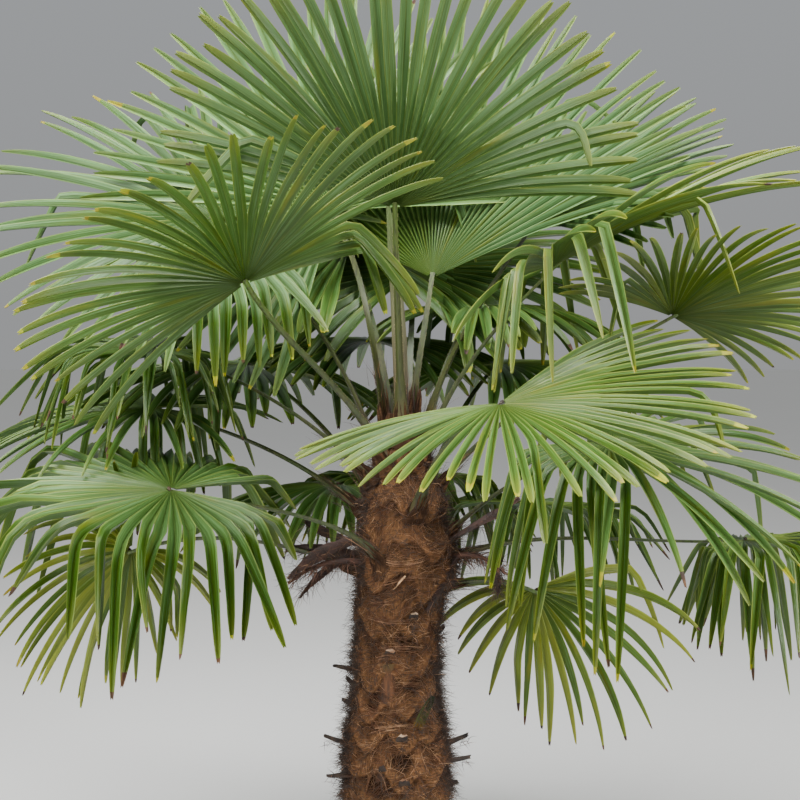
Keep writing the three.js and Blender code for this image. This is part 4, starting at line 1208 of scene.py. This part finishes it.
def crown_strands(rng, each):
    """Paths of the dark hair round the stalks' feet, on the dead pieces and on the stubs."""
    for frond in fronds():
        path, outward = stalk_path(frond, 40)
        side = np.cross(outward, [0, 0, 1.0])
        first = surfacing(frond, path, 8)
        for _ in range(each):
            at = min(first + rng.randrange(0, 5), 38)
            point = path[at] + side * rng.gauss(0, 13) + np.array([0, 0, rng.gauss(-6, 9)])
            way = unit(path[at + 1] - path[at] + side * rng.gauss(0, 0.3)
                       + np.array([0, 0, rng.gauss(-0.1, 0.3)]))
            yield hair(rng, point, way, "stalk"), rng.random()
    dead = [dead_path(row) for row in dead_sheaths()]
    dead += [flower_path(row) for row in FLOWER_STALKS] + [bezier(GREEN_STUB, GREEN_STEPS)]
    for path in dead:
        for _ in range(each * 4):
            at = rng.randrange(1, len(path) - 1)
            way = unit((path[at + 1] - path[at]) * 0.5 + stray_by(rng, 6, 6, -2))
            point = path[at] + stray_by(rng, 5, 6, -2)
            yield hair(rng, point, way, "dead"), rng.random()
    for azimuth, height, length, tilt, _ in stub_rows():
        out = heading(math.radians(azimuth), math.radians(tilt))
        foot = trunk_surface(math.radians(azimuth), height)
        for _ in range(each // 2):
            point = foot + out * length * rng.uniform(0, 1) + np.array([0, 0, rng.gauss(0, 4)])
            way = unit(out * rng.uniform(0, 1) + stray_by(rng, 0.4, 0.5, -0.2))
            yield hair(rng, point, way, "stub"), rng.random()


def rim_strands(rng, each):
    """Paths of the bundled fibres along the rims of old sheaths, and of the tufts between them."""
    rows = RIMS + [(azimuth, height, RIMS_BEHIND["half"], RIMS_BEHIND["rise"])
                   for _, azimuth, height in scattered(RIMS_BEHIND)]
    for middle, height, half, rise in rows:
        for _ in range(each):
            first, last = sorted((rng.uniform(-1.1, 1.1), rng.uniform(-1.1, 1.1)))
            drop, lift, slope = rng.gauss(0, 4), rng.uniform(0.5, 7), rng.gauss(0, 5)
            path = []
            for k in range(STRAND_POINTS):
                part = lerp(first, last, k / (STRAND_POINTS - 1))
                turn = math.radians(middle + half * part)
                level = height + rise * (1 - part * part) + drop + slope * part
                path.append(trunk_surface(turn, level, max(relief(turn, level), -MAT_INSET) + lift))
            yield path, rng.uniform(0, 0.5)
    for azimuth, height in TUFTS + [place for _, *place in scattered(TUFTS_BEHIND)]:
        for _ in range(each * 3):
            turn, level = math.radians(azimuth + rng.gauss(0, 7)), height + rng.gauss(0, 20)
            point = trunk_surface(turn, level, relief(turn, level) - 1)
            way = heading(turn + rng.gauss(0, 0.5), rng.gauss(0.1, 0.8))
            yield hair(rng, point, way, "tuft"), rng.uniform(0.5, 1)


def make_fibre(settings):
    rng = random.Random(FIBRE_SEED)
    looks = [plain_material("strand_rust", settings.fibre_colour, linear(96, 58, 36), 0.8),
             plain_material("strand_pale", settings.strand_colour, linear(140, 98, 70), 0.7),
             plain_material("strand_dark", linear(52, 38, 32), linear(78, 66, 58), 0.85)]
    count = settings.strand_count
    # name, paths, thinnest and thickest fibre, and the shares that are rust and then pale
    kinds = [("fibre_strands", trunk_strands(rng, count), (0.25, 0.55), (0.66, 0.84)),
             ("fibre_wisps", loose_strands(rng, int(count * WISPS)), (0.4, 0.9), (0.12, 0.15)),
             ("fibre_rims", rim_strands(rng, RIM_FIBRES), (0.35, 0.8), (0.3, 0.5)),
             ("crown_hair", crown_strands(rng, CROWN_HAIRS), (0.35, 0.85), (0.2, 0.23))]
    for name, paths, sizes, (rust, pale) in kinds:
        mesher = Mesher()
        for path, pick in paths:
            look = 0 if pick < rust else 1 if pick < pale else 2
            strand(mesher, path, lerp(*sizes, (pick * 7) % 1), look)
        mesher.build(name, looks, "trunk_fibre", sharp=3.0)


# Stubs of old stalks

def stub_rows():
    rows = list(STUBS_SEEN)
    for i, azimuth, height in scattered(STUBS_BEHIND):
        rows.append((azimuth, height, within(STUBS_BEHIND["lengths"], i, 1),
                     within(STUBS_BEHIND["tilts"], i, 2), i % 3 == 0))
    low = STUBS_LOW
    for i in range(low["count"]):
        rows.append(((i * GOLDEN_ANGLE) % 360, lerp(*low["heights"], i / (low["count"] - 1)),
                     within(low["lengths"], i, 3), within(low["tilts"], i, 4), i % 2 == 0))
    return rows


STUB_DARK, STUB_CUT, STUB_BROKEN, STUB_GREEN, STUB_FLAT = range(5)
STUB_OUTLINE = [(-1, 0), (-0.8, -0.5), (-0.3, -0.95), (0.3, -1), (0.8, -0.55), (1, 0), (0.7, 0.35),
                (0.2, 0.2), (-0.3, 0.25), (-0.75, 0.4)]


def add_stub(mesher, number, azimuth, height, length, tilt, pale):
    """One old stalk base: flat, frayed, widening into the trunk, and cut or broken at its end."""
    turn = math.radians(azimuth)
    way = heading(turn, math.radians(tilt))
    side = np.array([-math.sin(turn), math.cos(turn), 0.0])
    steps, sunk = STUB["steps"], STUB["sunk"]
    start = trunk_middle(height) + heading(turn, 0.0) * (value_at(TRUNK_RADIUS, height) - sunk)
    share = np.linspace(0, 1, steps)
    bend = (chance(number, 21) - 0.35) * STUB["rise"]
    path = np.array([start + way * (length + sunk) * s + np.array([0, 0, bend * s * s])
                     + side * (chance(number, 8) - 0.5) * STUB["aside"] * s * s for s in share])
    narrow = STUB["cut_half" if pale else "broken_half"]
    wobble = 1 + 0.16 * (chance(np.arange(steps), number) - 0.5)
    widths = np.interp(share, (0, 0.3, 0.8, 1), (26, 18, narrow, narrow * 0.8)) * wobble
    depths = np.interp(share, (0, 0.3, 1), (11, 8, 5 if pale else 5.5)) * wobble
    outline = np.array(STUB_OUTLINE[::-1])
    points, faces = sweep(path, widths, depths, outline, side)
    ragged = chance(np.arange(len(points)), number + 3)[:, None] - 0.5
    along = np.concatenate([np.repeat(share, len(outline)), [0, 1]])
    points = points + (way * 9 + side * 3) * ragged * (along > 0.9)[:, None]
    end = STUB_CUT if pale else STUB_BROKEN
    mesher.add(points, faces, [STUB_DARK, STUB_DARK, end], share=along)


def add_green_stub(mesher):
    """The one stalk base that is still green: it curves up beside the trunk from a yellow foot."""
    path = bezier(GREEN_STUB, GREEN_STEPS)
    share = np.linspace(0, 1, len(path))
    widths = np.interp(share, (0, 0.3, 0.6, 0.9, 1), (18, 13, 12, 9, 5))
    across = np.array([0.9, 0.2, -0.35])
    add_tube(mesher, path, widths, widths * 0.7, STUB_OUTLINE[::-1], across,
             [STUB_GREEN, STUB_GREEN, STUB_BROKEN])


def add_old_base(mesher):
    """The flat foot of an old stalk that still shows under its cut end."""
    rows, columns = OLD_BASE["rows"], OLD_BASE["columns"]
    share = np.linspace(0, 1, rows)
    turn = math.radians(OLD_BASE["azimuth"])
    heights = OLD_BASE["height"] - OLD_BASE["length"] * share
    points = []
    for part, level in zip(share, heights):
        radius = value_at(TRUNK_RADIUS, level) + lerp(*OLD_BASE["lift"], part)
        wide = lerp(*OLD_BASE["wide"], part) * lerp(0.85, 1.15, float(chance(1, part * 9)))
        for k in np.linspace(-1, 1, columns):
            out = relief(turn, level) * 0.4 - MAT_INSET * 0.6 + 3 - 3 * k * k
            away = heading(turn + k * wide / radius, 0.0)
            points.append(trunk_middle(level) + away * (radius + out))
    mesher.add(points, grid_faces(rows, columns)[:, ::-1], STUB_FLAT,
               share=np.repeat(share, columns))


def stub_materials():
    """The stubs' materials: dead body, cut end, broken end, the green stub and the flat foot."""
    dark, tree, shader = new_material("stub_dark")
    grain = noise_of(tree, 60.0, 4)
    base = mixed(tree, remap(tree, grain, 0.35, 0.7), linear(34, 29, 26), linear(74, 60, 50))
    base = over(tree, base, linear(104, 66, 42), attribute(tree, "share"), 0.2, 0.6, 0.7, 0.0)
    finish(tree, shader, base, 0.85, (grain, 0.6, 0.002))
    cut = plain_material("stub_cut", linear(208, 180, 150), linear(140, 102, 74), 0.8)
    broken = plain_material("stub_broken", linear(70, 58, 50), linear(44, 36, 32), 0.9)
    green, tree, shader = new_material("stub_green")
    base = ramp(tree, attribute(tree, "share"),
                [(0.0, linear(88, 54, 30)), (0.3, linear(124, 86, 28)),
                 (0.5, linear(62, 68, 26)), (1.0, linear(24, 30, 16))])
    finish(tree, shader, base, 0.75, (noise_of(tree, 50.0, 3), 0.3, 0.001), 0.2)
    foot, tree, shader = new_material("stub_foot")
    grain = noise_of(tree, 90.0, 4, (1.4, 1.4, 0.12))
    base = mixed(tree, remap(tree, grain, 0.36, 0.64), linear(54, 33, 20), linear(108, 68, 38))
    base = over(tree, base, linear(84, 74, 30), attribute(tree, "share"), 0.0, 0.25, 0.6, 0.0)
    finish(tree, shader, base, 0.8, (grain, 0.6, 0.002))
    return [dark, cut, broken, green, foot]


def make_stubs():
    mesher = Mesher()
    for number, row in enumerate(stub_rows()):
        add_stub(mesher, number, *row)
    add_old_base(mesher)
    add_green_stub(mesher)
    mesher.build("stubs", stub_materials(), "trunk_fibre", sharp=0.9)


# Spear leaf and dead flower stalks

def spear_material():
    material, tree, shader = new_material("spear_leaf")
    base = ramp(tree, attribute(tree, "share"),
                [(0.0, linear(90, 74, 46)), (0.4, linear(96, 94, 60)), (1.0, linear(92, 112, 58))])
    streaks = noise_of(tree, 70.0, 4, (1, 1, 0.12))
    base = over(tree, base, linear(58, 48, 34), streaks, 0.4, 0.7, 0.0, 0.7)
    finish(tree, shader, base, 0.6)
    return material


def make_spear():
    """The youngest leaf, still folded shut: a tall pleated spike."""
    mesher = Mesher()
    steps, sides = SPEAR["steps"], SPEAR["sides"]
    share = np.linspace(0, 1, steps)
    base = trunk_middle(TRUNK_HEIGHT - SPEAR["sunk"])
    path = base + np.stack([SPEAR["lean"][0] * share ** 2, SPEAR["lean"][1] * share ** 2,
                            (SPEAR["height"] + 8) * share], axis=1)
    radii = SPEAR["radius"] * np.interp(share, (0, 0.35, 0.75, 0.96, 1), (1, 1.08, 0.8, 0.3, 0.1))
    pleats = 1 + SPEAR["pleat"] * np.where(np.arange(sides) % 2, 1, -1)
    outline = round_outline(sides) * pleats[:, None]
    add_tube(mesher, path, radii, radii, outline[::-1], np.array([1.0, 0, 0]))
    mesher.build("spear", [spear_material()], "spear_leaf", "spear_leaf", sharp=0.4)


def dead_sheaths():
    """The rows of dead sheath pieces: the ones in view and the ones behind."""
    rows = list(DEAD_SHEATHS)
    for i, azimuth in enumerate(DEAD_BEHIND["azimuths"]):
        height = lerp(*DEAD_BEHIND["heights"], float(chance(i, 31)))
        away = level_way(azimuth)
        reach = DEAD_BEHIND["out"] * lerp(0.8, 1.2, float(chance(i, 32)))
        drop = DEAD_BEHIND["drop"] * lerp(-1, 1, float(chance(i, 33)))
        foot = np.array([0, 0, height])
        rows.append((foot + away * DEAD_BEHIND["start"],
                     foot + away * reach + [0, 0, DEAD_BEHIND["rise"]],
                     foot + away * reach * DEAD_BEHIND["end"] - [0, 0, drop], DEAD_BEHIND["half"]))
    return rows


def dead_path(row):
    return bezier(row[:3], DEAD_STEPS)


def add_dead_sheath(mesher, number, row, look=0):
    """A dead, flat, curled piece of a sheath with a torn end."""
    path = dead_path(row)
    share = np.linspace(0, 1, len(path))
    outline = np.array([(-1, 0.5), (-0.55, 0.05), (0, -0.12), (0.55, 0.05), (1, 0.5),
                        (0.55, 0.2), (0, 0.05), (-0.55, 0.2)])
    flare = np.interp(share, (0, 0.15, 0.6, 1), (1, 0.8, 1, 0.35))
    wobble = 1 + 0.35 * (chance(np.arange(len(path)), number + 2) - 0.5)
    level = unit(np.cross(path[-1] - path[0], [0, 0, 1.0]))
    across = turned(level, unit(np.gradient(path, axis=0)), share * 0.9 + number * 0.5)
    widths, depths = row[3] * flare * wobble, row[3] * flare * 0.6
    points, faces = sweep(path, widths, depths, outline[::-1], across)
    mesher.add(points, faces, look)


def make_dead_sheaths():
    mesher = Mesher()
    for number, row in enumerate(dead_sheaths()):
        add_dead_sheath(mesher, number, row)
    add_dead_sheath(mesher, SCRAP_SEED, SCRAP, 1)
    looks = [plain_material("dead_sheath", linear(72, 46, 36), linear(40, 28, 26), 0.75),
             plain_material("dead_scrap", linear(214, 176, 132), linear(160, 116, 78), 0.75)]
    mesher.build("dead_sheaths", looks, "dry_stalk", sharp=0.8)


def flower_path(row):
    _, (azimuth, height), end = row
    away = level_way(azimuth)
    start = away * value_at(TRUNK_RADIUS, height) * ROOTED + trunk_middle(height)
    tip = np.array(end, float)
    crest = (start + tip) / 2
    crest[2] = max(start[2], tip[2]) + FLOWER_STALK["crest"]
    return bezier([start, crest, tip], FLOWER_STALK["steps"])


def make_flower_stalks():
    looks = [plain_material("dry_stalk", linear(92, 60, 46), linear(52, 36, 32), 0.85),
             plain_material("dry_twig", linear(120, 84, 66), linear(74, 50, 44), 0.85)]
    for number, row in enumerate(FLOWER_STALKS):
        name, (azimuth, _), _ = row
        rng = random.Random(TWIG_SEED + number)
        mesher = Mesher()
        outward = level_way(azimuth)
        side = unit(np.cross(outward, [0, 0, 1]))
        path = flower_path(row)
        steps = len(path)
        wobble = 1 + 0.15 * (chance(np.arange(steps), number) - 0.5)
        radii = np.linspace(*FLOWER_STALK["radii"], steps) * wobble
        points, faces = sweep(path, radii, radii * FLOWER_STALK["flat"],
                              round_outline(FLOWER_STALK["sides"])[::-1], side)
        mesher.add(points, faces)
        for _ in range(TWIGS["count"]):
            point = path[int(rng.uniform(0.3, 1.0) * (steps - 1))]
            way = unit(outward * rng.uniform(0.1, 0.9) + side * rng.uniform(-1, 1)
                       + np.array([0, 0, rng.uniform(-1.0, 0.35)]))
            length = rng.uniform(*TWIGS["lengths"])
            twig = []
            for _ in range(TWIGS["points"]):
                twig.append(point)
                point = point + way * length / TWIGS["points"]
                way = unit(way + np.array([rng.uniform(-0.3, 0.3), rng.uniform(-0.3, 0.3),
                                           rng.uniform(-0.35, 0.1)]))
            strand(mesher, twig, rng.uniform(*TWIGS["radii"]), 1)
        mesher.build(f"flower_stalk_{name}", looks, "dry_stalk", f"old_flower_stalk_{name}",
                     sharp=1.2)


# Stage

def make_floor(settings):
    bpy.ops.mesh.primitive_circle_add(vertices=FLOOR["sides"], radius=FLOOR["radius"],
                                      fill_type="NGON")
    floor = bpy.context.object
    floor.name = "floor"
    material, tree, shader = new_material("floor_pale")
    low = tuple(c * 0.97 for c in settings.floor_colour)
    finish(tree, shader, mixed(tree, noise_of(tree, 0.6, 2), low, settings.floor_colour), 0.9)
    floor.data.materials.append(material)


def make_sky(settings):
    """Soft light from all round, brightest from above."""
    world = bpy.context.scene.world or bpy.data.worlds.new("studio")
    bpy.context.scene.world = world
    world.use_nodes = True
    tree = world.node_tree
    height = tree.nodes.new("ShaderNodeSeparateXYZ")
    place = tree.nodes.new("ShaderNodeTexCoord")
    tree.links.new(place.outputs["Generated"], height.inputs["Vector"])
    shade = ramp(tree, height.outputs["Z"], [(0.0, (0.53, 0.54, 0.55)), (0.3, (0.6, 0.63, 0.66)),
                                             (1.0, (1.0, 1.0, 1.0))])
    sky = tree.nodes["Background"]
    tree.links.new(shade, sky.inputs["Color"])
    sky.inputs["Strength"].default_value = settings.sky_strength


def placed(name, data, place, turn):
    """An object at a place in metres, turned by three angles."""
    holder = bpy.data.objects.new(name, data)
    holder.location = place
    holder.rotation_euler = turn
    bpy.context.scene.collection.objects.link(holder)
    return holder


def make_stage(settings):
    make_floor(settings)
    make_sky(settings)
    for name, place, size, share in LIGHTS:
        light = bpy.data.lights.new(name, "AREA")
        light.size = size
        light.energy = settings.light_power * share
        aim = Vector(LIGHTS_AIM) - Vector(place)
        placed(name, light, place, aim.to_track_quat("-Z", "Y").to_euler())
    camera = bpy.data.cameras.new("camera")
    camera.lens = CAMERA["lens"]
    camera.sensor_width = CAMERA["sensor"]
    turn = (math.radians(90 + CAMERA["tilt"]), 0, 0)
    bpy.context.scene.camera = placed("camera", camera, CAMERA["place"], turn)


# Settings that a user would change

def colour(name, text, default):
    """A property that holds a colour."""
    return bpy.props.FloatVectorProperty(name=name, description=text, subtype="COLOR", size=3,
                                         default=default, min=0.0, max=1.0)


class PALM_PG_trunk(bpy.types.PropertyGroup):
    """The trunk's settings"""
    relief_depth: bpy.props.FloatProperty(
        name="Relief depth", description="How far the edges of the old sheaths stand out",
        default=RELIEF_DEPTH, min=0.0, max=0.03, subtype="DISTANCE", unit="LENGTH")
    strand_count: bpy.props.IntProperty(
        name="Strands", description="Number of fibres that lie matted over the trunk",
        default=6800, min=0, max=8200)
    fibre_colour: colour("Fibre colour", "Colour of the matted fibre", linear(130, 92, 60))
    strand_colour: colour("Strand colour", "Colour of the lightest strands", linear(194, 154, 116))


class PALM_PG_fronds(bpy.types.PropertyGroup):
    """The fronds' settings"""
    upper_green: colour("Upper side", "Colour of a green leaf's upper side", linear(36, 80, 14))
    under_green: colour("Underside", "Colour of a green leaf's underside", linear(38, 77, 20))
    light_through: colour("Light through", "Colour of the light that comes through a leaf",
                          linear(98, 151, 0))
    tip_yellow: colour("Yellow tips", "Colour of the tips that have turned yellow",
                       linear(146, 156, 0))
    stalk_width: bpy.props.FloatProperty(
        name="Stalk width", description="Width of a stalk a third of the way along it",
        default=0.018, min=0.006, max=0.04, subtype="DISTANCE", unit="LENGTH")


class PALM_PG_stage(bpy.types.PropertyGroup):
    """The stage's settings"""
    floor_colour: colour("Floor colour", "Colour of the pale floor", (0.62, 0.62, 0.6))
    sky_strength: bpy.props.FloatProperty(
        name="Sky strength", description="Brightness of the soft light from all round",
        default=0.62, min=0.0, max=4.0)
    light_power: bpy.props.FloatProperty(
        name="Light power", description="Power of the large soft light above", default=640.0,
        min=0.0, max=5000.0, unit="POWER")


SETTINGS = {"palm_trunk": PALM_PG_trunk, "palm_fronds": PALM_PG_fronds, "palm_stage": PALM_PG_stage}


# Operators

class PALM_OT_stage(bpy.types.Operator):
    """Make the floor, the soft lights and the camera"""
    bl_idname = "palm.stage"
    bl_label = "Stage"

    def execute(self, context):
        make_stage(context.scene.palm_stage)
        return {"FINISHED"}


class PALM_OT_trunk(bpy.types.Operator):
    """Make the trunk with its matted fibre"""
    bl_idname = "palm.trunk"
    bl_label = "Trunk"

    def execute(self, context):
        make_trunk(context.scene.palm_trunk)
        return {"FINISHED"}


class PALM_OT_sheaths(bpy.types.Operator):
    """Make the fibrous sheaths round the feet of the stalks"""
    bl_idname = "palm.sheaths"
    bl_label = "Sheaths"

    def execute(self, context):
        make_sleeves(context.scene.palm_trunk)
        return {"FINISHED"}


class PALM_OT_stubs(bpy.types.Operator):
    """Make the stubs of old stalks on the trunk"""
    bl_idname = "palm.stubs"
    bl_label = "Stubs"

    def execute(self, context):
        make_stubs()
        return {"FINISHED"}


class PALM_OT_fibre(bpy.types.Operator):
    """Make the matted strands and the loose hair"""
    bl_idname = "palm.fibre"
    bl_label = "Fibre"

    def execute(self, context):
        make_fibre(context.scene.palm_trunk)
        return {"FINISHED"}


class PALM_OT_stalks(bpy.types.Operator):
    """Make the stalks of all fronds with their teeth"""
    bl_idname = "palm.stalks"
    bl_label = "Stalks"

    def execute(self, context):
        make_stalks(context.scene.palm_fronds)
        return {"FINISHED"}


class PALM_OT_blades(bpy.types.Operator):
    """Make the pleated blades of all fronds"""
    bl_idname = "palm.blades"
    bl_label = "Blades"

    def execute(self, context):
        make_blades(context.scene.palm_fronds)
        return {"FINISHED"}


class PALM_OT_spear(bpy.types.Operator):
    """Make the leaf that is still folded shut"""
    bl_idname = "palm.spear"
    bl_label = "Spear leaf"

    def execute(self, context):
        make_spear()
        return {"FINISHED"}


class PALM_OT_dead_sheaths(bpy.types.Operator):
    """Make the dead pieces of sheath under the crown"""
    bl_idname = "palm.dead_sheaths"
    bl_label = "Dead sheaths"

    def execute(self, context):
        make_dead_sheaths()
        return {"FINISHED"}


class PALM_OT_flower_stalks(bpy.types.Operator):
    """Make the dead flower stalks"""
    bl_idname = "palm.flower_stalks"
    bl_label = "Flower stalks"

    def execute(self, context):
        make_flower_stalks()
        return {"FINISHED"}


OPERATORS = [PALM_OT_stage, PALM_OT_trunk, PALM_OT_sheaths, PALM_OT_stubs, PALM_OT_fibre,
             PALM_OT_stalks, PALM_OT_blades, PALM_OT_spear, PALM_OT_dead_sheaths,
             PALM_OT_flower_stalks]


class PALM_PT_panel(bpy.types.Panel):
    """Lists the palm's operators and settings"""
    bl_idname = "PALM_PT_panel"
    bl_label = "Windmill palm"
    bl_space_type = "VIEW_3D"
    bl_region_type = "UI"
    bl_category = "Palm"

    def draw(self, context):
        for kind in OPERATORS:
            self.layout.operator(kind.bl_idname)
        for key, kind in SETTINGS.items():
            for name in kind.__annotations__:
                self.layout.prop(getattr(context.scene, key), name)


CLASSES = [*SETTINGS.values(), *OPERATORS, PALM_PT_panel]


def register():
    for kind in CLASSES:
        bpy.utils.register_class(kind)
    for key, kind in SETTINGS.items():
        setattr(bpy.types.Scene, key, bpy.props.PointerProperty(type=kind))


def unregister():
    for key in SETTINGS:
        delattr(bpy.types.Scene, key)
    for kind in reversed(CLASSES):
        bpy.utils.unregister_class(kind)


def main():
    register()
    for kind in OPERATORS:
        getattr(bpy.ops.palm, kind.bl_idname.split(".")[1])()


if __name__ == "__main__":
    main()
